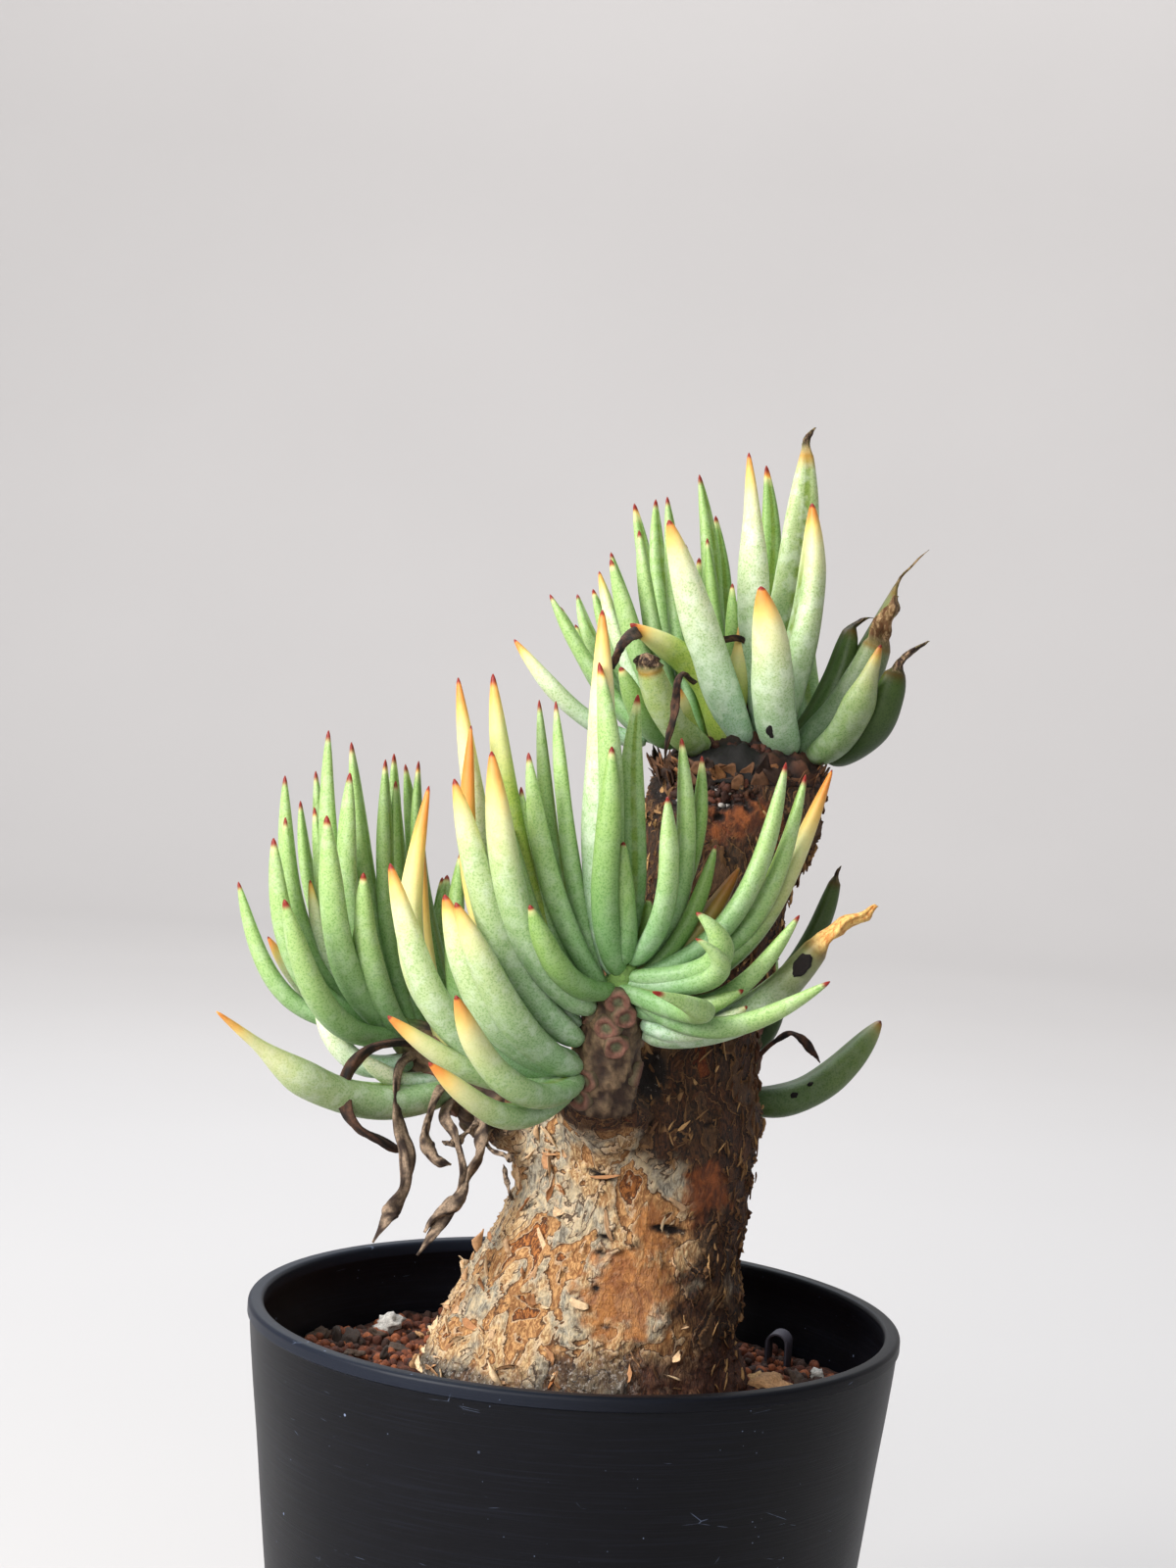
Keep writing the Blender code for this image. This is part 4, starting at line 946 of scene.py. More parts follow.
def make_crumbs(material):
    """Baked-clay granules over the soil, with bark lumps, pumice and tan chips among them."""
    shape = Shape("tint")
    draw = random.Random(GRANULE_SEED)
    small, large = ball_template(2), ball_template(3)
    reach = wall_radius(SOIL_TOP) - WALL - 1.6
    placed = 0
    while placed < GRANULE_COUNT:
        radius = reach * math.sqrt(draw.random())
        angle = draw.uniform(0.0, math.tau)
        x, y = radius * math.cos(angle), radius * math.sin(angle)
        if trunk_clearance(x, y) < 1.03:
            continue
        size = draw.uniform(*GRANULE_SIZES)
        tint = draw.choice(SOIL_TINTS["granule"])
        centre = Vector((x, y, soil_height(x, y) + size * 0.35 - 0.4))
        radii = [size * draw.uniform(0.8, 1.15) for _ in range(3)]
        add_lump(shape, small, centre, radii, 0.35, tint, draw)
        placed += 1
    for x, y, size, kind in SOIL_PIECES:
        flat = 0.34 if kind in ("tan", "bark") else 0.62
        radii = (size * 0.5, size * draw.uniform(0.30, 0.42), size * 0.5 * flat)
        centre = Vector((x, y, soil_height(x, y) + radii[2] * 0.9))
        add_lump(shape, large, centre, radii, 0.75, draw.choice(SOIL_TINTS[kind]), draw)
    shape.build("soil_crumbs", material, "soil", "soil")


def trunk_section(z):
    return between(CAUDEX, z)


def bark_relief(point):
    """The broad ridges and lumps that the solid has too."""
    plates = noise.noise(Vector((point.x / 8.0, point.y / 8.0, point.z / 11.0)))
    knobs = noise.noise(Vector((point.x / 15.0, point.y / 15.0, point.z / 17.0 + 5.0)))
    return PLATE_RELIEF * plates + KNOB_RELIEF * knobs


def bark_layer(point):
    """Which sheet of bark shows: the whole part counts sheets, the fraction grows away from its edge."""
    bent = point + noise.noise_vector(point / 6.0) * 3.4
    value = noise.fractal(Vector((bent.x, bent.y, bent.z * 0.55)) / 5.6, 0.85, 2.4, 4)
    return min(max((0.56 + 0.56 * value) * SHEETS, 0.0), SHEETS - 0.001)


def edge_curl(point, fraction):
    """Raised rim along the free edge of a sheet of bark, higher in some stretches than in others."""
    peel = smoothstep(-0.25, 0.5, noise.noise(point / 4.5))
    return EDGE_CURL * peel * math.exp(-((fraction - SHEET_EDGE) / 0.10) ** 2)


def branch_gap(point):
    """Distance from a point to the nearest branch's skin."""
    gaps = []
    for stem, root, girth in BRANCHES:
        root = Vector(root)
        axis = Vector(stem.start) - root
        share = min(max((point - root).dot(axis) / axis.length_squared, 0.0), 1.0)
        gaps.append((point - root - axis * share).length - girth)
    return min(gaps)


def front_patch(point, patch):
    """1 in the middle of an oval patch on the front, 0 outside it, with a ragged border."""
    (x, z), (half_width, half_height) = patch[:2]
    if point.y > trunk_section(point.z)[1]:
        return 0.0
    ragged = 0.55 * lumps(point, 3.5, 4)
    away = math.hypot((point.x - x) / half_width, (point.z - z) / half_height) + ragged
    return 1.0 - smoothstep(0.62, 1.10, away)


def gash_depth(point):
    """Depth of the lens-shaped gashes and pits at a point on the front."""
    deepest = 0.0
    if point.y > trunk_section(point.z)[1]:
        return deepest
    for x, z, half_length, half_height, tilt, depth in GASHES:
        dx, dz = point.x - x, point.z - z
        if abs(dx) > half_length + 1 or abs(dz) > half_length + 1:
            continue
        cos, sin = math.cos(math.radians(tilt)), math.sin(math.radians(tilt))
        u = (dx * cos + dz * sin) / half_length
        v = (dz * cos - dx * sin) / half_height
        deepest = max(deepest, depth * smoothstep(1.1, 0.2, math.hypot(u, v)))
    return deepest


def bark_darkness(point):
    """0 on the pale left foot of the trunk, 1 on its brown right side and upper half; the right side's dark
    brown is partly painted shade.
    """
    cx, _, half_width, _ = trunk_section(point.z)
    across = (point.x - cx) / half_width
    limit = 0.48 - 0.18 * smoothstep(120.0, 139.0, point.z) - 0.34 * smoothstep(139.0, 149.0, point.z)
    limit -= 1.7 * smoothstep(149.5, 153.0, point.z)
    ragged = 0.5 * lumps(point, 9.0, 5)
    return smoothstep(limit - 0.20, limit + 0.20, across + ragged)


def trunk_surface(angle, z):
    """Point on the bark with its outward direction and the values that its finish reads."""
    section = trunk_section(z)
    smooth = on_oval(section, angle, z)
    out = off_oval(section, angle)
    shown = smoothstep(BURIED, BURIED + 4.0, z)
    bare = max(front_patch(smooth, patch) for patch in BARE_PATCHES)
    rust = max(front_patch(smooth, patch) for patch in RUSTY_PATCHES)
    layer = bark_layer(smooth)
    fraction = layer - math.floor(layer)
    level = math.floor(layer) + smoothstep(0.0, SHEET_EDGE, fraction) - SHEET_LEVEL
    sheet = level * SHEET_HEIGHT + edge_curl(smooth, fraction)
    sheet *= 1.0 - 0.85 * max(bare, rust)
    fine = 0.22 * lumps(smooth, 1.7, 3) * (1.0 - 0.7 * bare)
    gash = gash_depth(smooth)
    hollow = front_patch(smooth, HOLLOW) * HOLLOW[2]
    crust = hollow * 0.35 * lumps(smooth, 2.0, 3)
    fillet = FILLET_HEIGHT * smoothstep(FILLET_REACH, 0.0, branch_gap(smooth))
    lift = bark_relief(smooth) + sheet + fine + fillet - gash - hollow + crust
    damp = 5.0 * smoothstep(-8.0, -2.0, smooth.x)
    dirt = smoothstep(106.0, 101.5, z - damp + 3.0 * noise.noise(smooth / 4.0))
    wound_and_shade = min(gash * 1.4 + hollow * 0.8, 1.0)
    sheets = (layer, bark_darkness(smooth), bare)
    return smooth + out * lift * shown, out, sheets, (wound_and_shade, dirt * 0.8, rust)


def make_trunk(material):
    """Caudex with its papery bark in relief, and the woody branches that carry the leafy stems."""
    shape = Shape("bark_sheets", "bark_marks")
    points, sheets, marks = [], [], []
    low = CAUDEX[0][0]
    heights = [low + (BURIED - low) * i / BURIED_RINGS for i in range(BURIED_RINGS)]
    shown_rings = TRUNK_RINGS - BURIED_RINGS
    heights += [BURIED + (TRUNK_TOP - BURIED) * i / (shown_rings - 1) for i in range(shown_rings)]
    for z in heights:
        for angle in all_round(TRUNK_SIDES):
            point, _, sheet, mark = trunk_surface(angle, z)
            points.append(point)
            sheets.append(sheet)
            marks.append(mark)
    shape.add(points, loft_faces(len(heights), TRUNK_SIDES), bark_sheets=sheets, bark_marks=marks)
    for stem, root, girth in BRANCHES:
        add_branch(shape, stem, Vector(root), girth)
    shape.build("trunk_bark", material, "bark", "caudex")


def stem_frame(start, end):
    along = (Vector(end) - Vector(start)).normalized()
    side = along.cross(Vector((0.0, 1.0, 0.2))).normalized()
    return along, side, side.cross(along)


def add_branch(shape, stem, root, girth):
    """Woody stub from inside the trunk to the foot of a leafy stem."""
    seat = Vector(stem.start)
    _, first_side, first_other = stem_frame(root, seat)
    _, last_side, last_other = stem_frame(stem.start, stem.end)
    points, sheets = [], []
    for level in range(BRANCH_RINGS):
        share = level / (BRANCH_RINGS - 1)
        centre = root.lerp(seat, share)
        full = girth + (stem.radius_start - girth) * share + FILLET_HEIGHT * (1.0 - share) ** 2
        side = first_side.lerp(last_side, share).normalized()
        other = first_other.lerp(last_other, share).normalized()
        for angle in all_round(BRANCH_SIDES):
            smooth = centre + turned(side, other, angle) * full
            layer = bark_layer(smooth)
            lump = 1.2 * lumps(smooth, 5.0, 4, 0.9) + 0.3 * (layer - 2.0) - 0.9 * smoothstep(0.7, 1.0, share)
            points.append(centre + (smooth - centre) * (1.0 + lump / full))
            sheets.append((layer, max(bark_darkness(smooth), smoothstep(0.5, 0.9, share)), 0.0))
    shape.add(points, loft_faces(BRANCH_RINGS, BRANCH_SIDES), bark_sheets=sheets, bark_marks=(0.0, 0.0, 0.0))


def add_flake(shape, place, out, turn, length, width, curl, tint, draw):
    """Thin scrap of bark: held along one edge, its ragged free edge curls away from the trunk."""
    long_steps, wide_steps = 6, 4
    up = Vector((0.0, 0.0, 1.0))
    side = up.cross(out).normalized()
    along = (up * math.cos(turn) + side * math.sin(turn)).normalized()
    across = out.cross(along)
    seed = Vector((draw.uniform(0, 50), draw.uniform(0, 50), 0.0))
    sheets = []
    for sheet in (0.0, FLAKE_THICKNESS):
        for i in range(long_steps):
            u = i / (long_steps - 1)
            round_end = math.sin(math.pi * (0.08 + 0.84 * u)) ** 0.6
            ragged = 1.0 + 0.45 * noise.noise(seed + Vector((u * 3.0, 0.0, 0.0)))
            reach = width * round_end * ragged
            for j in range(wide_steps):
                v = j / (wide_steps - 1)
                angle = curl * v * (0.7 + 0.6 * noise.noise(seed + Vector((u * 1.5, 7.0, 0.0))) + 0.3)
                lift = reach * (1.0 - math.cos(angle)) / max(curl, 0.2)
                forward = reach * math.sin(angle) / max(curl, 0.2)
                bend = noise.noise(seed + Vector((v, u, 3.0)))
                skew = (u - 0.5) * length * (1.0 - 0.12 * v) + 0.25 * length * bend
                sag = -((u - 0.5) * length) ** 2 / 60.0 * abs(math.sin(turn))
                sheets.append(place + along * skew + across * forward + out * (lift + sheet - 0.05 + sag))
    count = long_steps * wide_steps
    faces = []
    for i in range(long_steps - 1):
        for j in range(wide_steps - 1):
            a = i * wide_steps + j
            quad = (a, a + 1, a + wide_steps + 1, a + wide_steps)
            faces += [quad, tuple(count + k for k in reversed(quad))]
    border = list(range(wide_steps))
    border += [i * wide_steps + wide_steps - 1 for i in range(1, long_steps)]
    border += [(long_steps - 1) * wide_steps + j for j in range(wide_steps - 2, -1, -1)]
    border += [i * wide_steps for i in range(long_steps - 2, 0, -1)]
    for a, b in zip(border, border[1:] + border[:1]):
        faces.append((a, b, count + b, count + a))
    shape.add(sheets, faces, tint=tint)


def edge_turn(angle, z):
    """Turn of a flake that lies along the edge of its sheet, with its free side towards the sheet below."""
    reach = 0.8

    def layer_at(a, height):
        return bark_layer(on_oval(trunk_section(height), a, height))

    _, _, half_width, half_depth = trunk_section(z)
    turn = reach / (0.5 * (half_width + half_depth))
    upwards = layer_at(angle, z + reach) - layer_at(angle, z - reach)
    sideways = layer_at(angle + turn, z) - layer_at(angle - turn, z)
    return math.atan2(-upwards, sideways)


def make_flakes(material):
    """Peeling scraps of bark on the edges of its sheets: broad and pale at the foot, small and brown above."""
    shape = Shape("tint")
    draw = random.Random(FLAKE_SEED)
    for _ in range(FLAKE_TRIES):
        z = draw.uniform(*FLAKE_HEIGHTS)
        angle = draw.uniform(0.0, math.tau)
        chance = draw.random()
        place, out, sheets, marks = trunk_surface(angle, z)
        layer, dark, bare = sheets
        pale = dark < 0.5
        on_edge = layer >= 1.0 and layer % 1.0 < (0.20 if pale else 0.30)
        if not on_edge or chance > (0.30 if pale else 0.55):
            continue
        if bare > 0.4 and chance > 0.03 or marks[2] > 0.5 and chance > 0.10:
            continue
        turn = edge_turn(angle, z) + draw.gauss(0.0, 0.25) if pale else draw.gauss(0.0, 0.6)
        if pale:
            length, width = draw.uniform(1.6, 6.0), draw.uniform(0.8, 2.0)
            tint = blend(srgb(236, 206, 164), srgb(164, 100, 50), draw.random() ** 1.3)
            curl = draw.uniform(1.0, 2.6)
        else:
            length, width = draw.uniform(0.9, 3.8), draw.uniform(0.35, 0.95)
            tint = blend(srgb(84, 50, 28), srgb(204, 158, 104), draw.random() ** 1.9)
            curl = draw.uniform(0.6, 2.2)
        add_flake(shape, place, out, turn, length, width, curl, tint, draw)
    shape.build("bark_flakes", material, "bark", "caudex")


def make_rim(material):
    """Ragged dead crust round the top of the trunk: standing shreds, black crumbs and a few white ones."""
    shape = Shape("tint")
    draw = random.Random(RIM_SEED)
    section = trunk_section(TRUNK_TOP)
    template = ball_template(2)
    for _ in range(RIM_COUNT):
        angle = draw.uniform(0.0, math.tau)
        inset = draw.uniform(0.0, 1.6)
        place = on_oval(section, angle, TRUNK_TOP + draw.uniform(-1.2, 1.6), inset)
        tint = blend(srgb(48, 30, 22), srgb(150, 100, 62), draw.random() ** 2.2)
        turn = draw.gauss(1.57, 0.5)
        length, width = draw.uniform(2.0, 5.0), draw.uniform(1.6, 4.4)
        curl = draw.uniform(0.2, 1.2)
        add_flake(shape, place, off_oval(section, angle), turn, length, width, curl, tint, draw)
    for _ in range(RIM_CRUMBS):
        angle = draw.gauss(-1.5, 0.75)
        height = draw.uniform(-7.0, 7.0)
        inset = 1.6 + max(height, 0.0) * 0.9 + draw.uniform(-0.6, 1.0)
        place = on_oval(section, angle, TRUNK_TOP + height, inset)
        if draw.random() < 0.16:
            tint = srgb(176, 168, 164)
            size = draw.uniform(0.35, 0.7)
        else:
            tint = blend(srgb(20, 13, 12), srgb(96, 52, 36), draw.random() ** 1.5)
            size = draw.uniform(0.5, 1.3)
        add_lump(shape, template, place, [size, size * 0.8, size * 0.7], 0.7, tint, draw)
    shape.build("trunk_rim", material, "bark", "caudex")


def bezier(points, share):
    a, b, c, d = points
    rest = 1.0 - share
    return a * rest**3 + b * 3 * rest**2 * share + c * 3 * rest * share**2 + d * share**3


def leaf_curve(stem, row):
    """Control points of a leaf's centre line: out from the stem, bowed down and out, up to its tip."""
    tip = Vector(row[:3])
    along, bow = row[4], row[5] / 100.0
    centre = Vector(stem.start).lerp(Vector(stem.end), along)
    radius = stem.radius_start + (stem.radius_end - stem.radius_start) * along
    towards = tip - centre
    towards.z *= stem.climb
    depth = stem.root_low + (stem.root_high - stem.root_low) * smoothstep(0.55, 0.85, along)
    root = centre + towards.normalized() * radius * depth
    chord = tip - root
    level = Vector((chord.x, chord.y, 0.0))
    outward = level.normalized() if level.length > 0.5 else Vector((0.0, -1.0, 0.0))
    side = chord.cross(outward) if chord.cross(outward).length > 0.1 else Vector((1.0, 0.0, 0.0))
    side.normalize()
    down = side.cross(chord).normalized()
    if down.z > 0.0:
        down = -down
        side = -side
    push = down * chord.length * bow / (MIDDLE_PULL * (BOW_NEAR_ROOT + BOW_NEAR_TIP))
    aside = Vector((LOOKS[row[6]].swing * chord.length / (2.0 * MIDDLE_PULL), 0.0, 0.0))
    near_root = root + chord / 3 + push * BOW_NEAR_ROOT + aside
    near_tip = root + chord * 2 / 3 + push * BOW_NEAR_TIP + aside
    return [root, near_root, near_tip, tip], side


def far_side_leaves(stem, rule):
    """Rows for the leaves that the front view hides, spread by the golden ratio over their range."""
    count, azimuths, reach, rise, widths, seed = rule
    draw = random.Random(seed)
    start, end = Vector(stem.start), Vector(stem.end)
    rows = []
    for i in range(count):
        along = FAR_ALONG[0] + FAR_ALONG[1] * ((i * 0.618) % 1.0)
        azimuth = math.radians(azimuths[0] + (azimuths[1] - azimuths[0]) * ((i * 0.382 + 0.1) % 1.0))
        out = draw.uniform(*reach)
        up = draw.uniform(*rise) * (1.0 - 0.6 * max(math.cos(azimuth), 0.0))
        tip = start.lerp(end, along) + Vector((out * math.cos(azimuth), out * math.sin(azimuth), up))
        look = FAR_LOOKS[i % len(FAR_LOOKS)]
        rows.append((*tip, draw.uniform(*widths), along, draw.uniform(*FAR_BOWS), look))
    return rows


def leaf_section(turn):
    """Place on a leaf's cross-section, in full widths: round below, flatter and channelled above."""
    across, up = math.cos(turn), math.sin(turn)
    if up < 0.0:
        return 0.5 * across, 0.44 * up
    channel = 0.07 * math.exp(-(across / 0.4) ** 2)
    return 0.5 * across, 0.33 * up - channel


def dry_end(curve, look, past):
    """Centre of a dry end that bends over sideways, past being 0 where it begins and 1 at its tip."""
    centre = bezier(curve, 1.0 - look.dry)
    ahead = (centre - bezier(curve, 0.98 - look.dry)).normalized()
    aside = Vector((1.0, 0.0, 0.0))
    aside = (aside - ahead * aside.dot(ahead)).normalized()
    steps = 8
    step_length = (curve[3] - curve[0]).length * look.dry * past / steps
    for k in range(steps):
        ahead_share = 1.0 - past * (k + 0.5) / steps
        bend = math.radians(look.hook) * (1.0 - ahead_share**2)
        centre += (ahead * math.cos(bend) + aside * math.sin(bend)) * step_length
    return centre


def leaf_point(curve, side, row, seed, share, turn):
    """Point of a leaf's skin, how dry it is there, and how near the brown edge where a dry end begins."""
    look = LOOKS[row[6]]
    centre = bezier(curve, share)
    ahead = (bezier(curve, share + 0.01) - bezier(curve, share - 0.01)).normalized()
    upper = ahead.cross(side).normalized()
    begins = 1.0 - look.dry
    living = share if look.dry == 0.0 else min(share / begins, 1.0) * look.shoulder
    width = row[3] * between(LEAF_WIDTHS, living)[0]
    width *= 1.0 - SLENDER_END * look.slim * smoothstep(0.58, 0.84, share)
    width *= 1.0 + 0.09 * noise.noise(seed + Vector((share * 4.0, 0.0, 0.0)))
    sway = LEAF_SWAY * (curve[3] - curve[0]).length * (1.0 - look.dry)
    centre += side * sway * math.sin(math.pi * share) * noise.noise(seed * 1.7)
    centre += side * sway * math.sin(math.tau * share) * noise.noise(seed * 2.3)
    a, b = leaf_section(turn)
    roll = math.radians(look.roll)
    a, b = a * math.cos(roll) - b * math.sin(roll), a * math.sin(roll) + b * math.cos(roll)
    if look.dry == 0.0:
        return centre + side * a * width + upper * b * width, 0.0, 0.0
    dryness = smoothstep(begins - 0.015, begins + 0.035, share)
    past = max(share - begins, 0.0) / look.dry
    if past > 0.0:
        centre = dry_end(curve, look, past)
    taper = 1.0 - 0.45 * past - 0.33 * smoothstep(0.7, 1.0, past)
    strand = row[3] * look.girth * taper * (1.0 + 0.25 * noise.noise(seed + Vector((9.0, past * 5.0, 0.0))))
    width += (strand - width) * dryness
    twist = turn + 2.2 * past + seed.x
    crease = 1.0 + dryness * 0.26 * math.sin(3.0 * twist)
    crease += 0.12 * dryness * math.sin(7.0 * turn + past * 9.0)
    wobble = 0.10 * row[3] * dryness * noise.noise(seed + Vector((0.0, share * 14.0, 0.0)))
    across = a * width * crease + wobble
    above = b * width * crease * (1.0 - 0.3 * dryness) + wobble
    shoulder = smoothstep(begins - 0.06, begins, share) * (1.0 - dryness)
    return centre + side * across + upper * above, dryness, shoulder


def add_leaf(shape, stem, row, chance):
    """One fleshy leaf with a rounded root and a pointed tip."""
    curve, side = leaf_curve(stem, row)
    look = LOOKS[row[6]]
    seed = Vector((chance * 90.0, row[4] * 37.0, 5.0))
    points, places, states, husks = [], [], [], []
    for level in range(LEAF_RINGS):
        even = level / (LEAF_RINGS - 1)
        share = 0.45 * even + 0.55 * (0.5 - 0.5 * math.cos(math.pi * even))
        for turn in all_round(LEAF_SIDES):
            point, dryness, shoulder = leaf_point(curve, side, row, seed, share, turn)
            points.append(point)
            places.append((share, math.sin(turn), chance))
            dark = look.dark * smoothstep(look.shade_from, look.shade_from + 0.2, share)
            states.append((dark, look.lime, dryness))
            husks.append((look.gold, shoulder, 0.0))
    shape.add(points, loft_faces(LEAF_RINGS, LEAF_SIDES), leaf_place=places,
              leaf_tints=(look.warm, look.red, look.bloom), leaf_state=states, leaf_husk=husks)


def make_leaves(name, stem, rows, material):
    shape = Shape("leaf_place", "leaf_tints", "leaf_state", "leaf_husk")
    draw = random.Random(LEAF_SEEDS[name])
    for row in rows:
        add_leaf(shape, stem, row, draw.random())
    shape.build(f"leaves_{name}", material, "leaf", f"crown_{name}")


def make_stem(name, stem, scars, material):
    """Young knobbly stem between the woody branch and the growing point, set with old leaf scars."""
    shape = Shape("tint")
    base, growth = Vector(stem.start), Vector(stem.end)
    radius_start, radius_end = stem.radius_start, stem.radius_end * GROWING_GIRTH
    along, side, other = stem_frame(stem.start, stem.end)
    points, tints = [], []
    for level in range(STEM_RINGS + CAP_RINGS):
        share = min(level / (STEM_RINGS - 1), 1.0)
        cap = max(level - STEM_RINGS + 1, 0) / CAP_RINGS
        full = (radius_start + (radius_end - radius_start) * share) * math.sqrt(max(1.0 - cap**2, 0.0004))
        full *= 1.0 - 0.35 * smoothstep(0.72, 1.0, share)
        centre = base.lerp(growth, share) + along * (cap * radius_end * 0.5 - 1.2 * (1.0 - share))
        for angle in all_round(STEM_SIDES):
            smooth = centre + turned(side, other, angle) * full
            lump = lumps(smooth, 2.2, 5, 0.7)
            points.append(smooth + (smooth - centre) * 0.13 * lump)
            olive = smoothstep(-0.5, 0.6, lump + share * 0.6 - 0.3)
            skin = blend(srgb(60, 42, 32), srgb(128, 104, 78), olive)
            tints.append(blend(skin, srgb(112, 146, 74), smoothstep(0.76, 0.92, share)))
    shape.add(points, loft_faces(STEM_RINGS + CAP_RINGS, STEM_SIDES), tint=tints)
    for scar in scars:
        add_scar(shape, stem, Vector(scar))
    for i in range(SPIRAL_SCARS):
        share = 0.04 + 0.64 * i / SPIRAL_SCARS
        near = base.lerp(growth, share) + turned(side, other, i * GOLDEN_ANGLE) * radius_start
        if all((near - Vector(scar)).length > SCAR_SPACING for scar in scars):
            add_scar(shape, stem, near)
    shape.build(f"stem_{name}", material, "bark", f"crown_{name}")


def add_scar(shape, stem, near):
    """Round scar of a fallen leaf: a pinkish ring with a sunken greenish centre, standing on the stem."""
    base, growth = Vector(stem.start), Vector(stem.end)
    axis = growth - base
    share = min(max((near - base).dot(axis) / axis.length_squared, 0.0), 1.0)
    centre = base.lerp(growth, share)
    out = (near - centre).normalized()
    girth = stem.radius_start + (stem.radius_end * GROWING_GIRTH - stem.radius_start) * share
    seat = centre + out * girth * 0.98
    side = out.cross(axis.normalized()).normalized()
    other = out.cross(side)
    points, tints = [], []
    for radius, height, pink in SCAR_OUTLINE:
        for angle in all_round(SCAR_SIDES):
            away = Vector((math.cos(angle), math.sin(angle), radius)) * 1.5
            rough = 1.0 + 0.24 * noise.noise(seat + away)
            flat = turned(side, other, angle)
            points.append(seat + flat * radius * rough + out * height * rough)
            tints.append(blend(srgb(98, 102, 74), srgb(124, 84, 70), pink))
    shape.add(points, loft_faces(len(SCAR_OUTLINE), SCAR_SIDES), tint=tints)


def make_dome(material):
    """Woody dome on the trunk's top that the top crown grows from."""
    cx, cy, base = TOP_DOME_CENTRE
    half_width, half_depth, height = TOP_DOME_SIZE
    shape = Shape("tint")
    points, tints = [], []
    for level in range(DOME_RINGS):
        rise = math.sin(0.5 * math.pi * level / (DOME_RINGS - 1) * 0.995)
        shrink = math.sqrt(1.0 - rise**2)
        section = (cx, cy, half_width * shrink, half_depth * shrink)
        for angle in all_round(DOME_SIDES):
            smooth = on_oval(section, angle, base + height * rise)
            lump = lumps(smooth, 3.2, 4)
            points.append(smooth + Vector((0.0, 0.0, 1.0)) * DOME_LUMPS * lump * min(level / 3.0, 1.0))
            crust = blend(srgb(36, 22, 18), srgb(96, 60, 42), smoothstep(-0.3, 0.6, lump))
            # Painted shade: the front of the dome is blackened so that it reads as a deep cavity
            front = smoothstep(cy - 2.0, cy - 7.0, smooth.y) * smoothstep(cx + 6.0, cx + 1.0, smooth.x)
            tints.append(blend(crust, srgb(18, 12, 12), front))
    shape.add(points, loft_faces(DOME_RINGS, DOME_SIDES), tint=tints)
    shape.build("stem_top", material, "bark", "crown_top")


def smooth_path(points, steps):
    """Evenly shared points on a smooth curve through a strand's points."""
    rows = [(float(i), *p) for i, p in enumerate(points)]
    last = len(points) - 1
    return [Vector(between(rows, last * k / (steps - 1))) for k in range(steps)]


def add_strand(shape, thickness, path, tints, seed):
    """Shrivelled strand: flattened, twisted and wrinkled, thinning to its end."""
    steps = STRAND_STEPS * len(path)
    centres = smooth_path(path, steps)
    points, colours = [], []
    side = Vector((1.0, 0.2, 0.0))
    for k, centre in enumerate(centres):
        ahead = (centres[min(k + 1, steps - 1)] - centres[max(k - 1, 0)]).normalized()
        side = (side - ahead * side.dot(ahead)).normalized()
        other = ahead.cross(side)
        share = k / (steps - 1)
        swell = 1.0 + 0.30 * noise.noise(Vector((share * 7.0, seed, 0.0)))
        full = thickness * 0.5 * swell * (1.0 - 0.75 * smoothstep(0.86, 1.0, share))
        twist = share * 4.5 + 1.5 * noise.noise(Vector((share * 4.0, seed, 8.0)))
        for angle in all_round(STRAND_SIDES):
            flat = Vector((math.cos(angle), 0.52 * math.sin(angle)))
            crease = 1.0 + 0.26 * math.sin(3.0 * angle + share * 16.0 + seed)
            x = (flat.x * math.cos(twist) - flat.y * math.sin(twist)) * full * crease
            y = (flat.x * math.sin(twist) + flat.y * math.cos(twist)) * full * crease
            points.append(centre + side * x + other * y)
            where = Vector((share * 14.0, math.cos(angle), seed + math.sin(angle)))
            streak = 0.5 + 0.9 * noise.noise(where)
            colours.append(blend(tints[0], tints[1], smoothstep(0.2, 0.8, streak)))
    shape.add(points, loft_faces(steps, STRAND_SIDES), tint=colours)


def make_strands(material):
    brown = (srgb(54, 38, 30), srgb(158, 134, 112))
    black = (srgb(30, 20, 16), srgb(92, 62, 46))
    shape = Shape("tint")
    for n, (thickness, path) in enumerate(WITHERED):
        add_strand(shape, thickness, path, black if n == 0 else brown, n * 3.7)
    shape.build("withered_leaves", material, "leaf", "crown_left")
    shape = Shape("tint")
    for n, (thickness, path) in enumerate(STRINGS):
        add_strand(shape, thickness, path, black, n * 5.1 + 40.0)
    shape.build("dry_strings", material, "leaf", "crown_top")
    shape = Shape("tint")
    add_strand(shape, *THORN, brown, 2.0)
    shape.build("thorn", material, "bark", "caudex")


def make_spots(rows_by_crown, material):
    """Dark scars and spots on single leaves, each lying in the leaf's skin."""
    shape = Shape("tint")
    draw = random.Random(71)
    template = ball_template(3)
    for crown, number, share, turn, length, width in LEAF_SPOTS:
        stem, rows = rows_by_crown[crown]
        row = rows[number]
        curve, side = leaf_curve(stem, row)
        angle = math.radians(turn)
        centre = bezier(curve, share)
        skin = leaf_point(curve, side, row, Vector((10.0, 0.0, 5.0)), share, angle)[0]
        out = (skin - centre).normalized()
        ahead = (bezier(curve, share + 0.02) - centre).normalized()
        across = out.cross(ahead).normalized()
        points, faces = template
        seed = Vector((draw.uniform(0, 50), 0.0, 0.0))
        placed = []
        for p in points:
            rough = 1.0 + 0.6 * noise.noise(p * 1.6 + seed)
            along = skin + ahead * p.x * length * 0.5 * rough
            placed.append(along + across * p.y * width * 0.5 * rough + out * p.z * 0.16)
        shape.add(placed, faces, tint=srgb(24, 11, 8))
    shape.build("leaf_spots", material, "leaf")


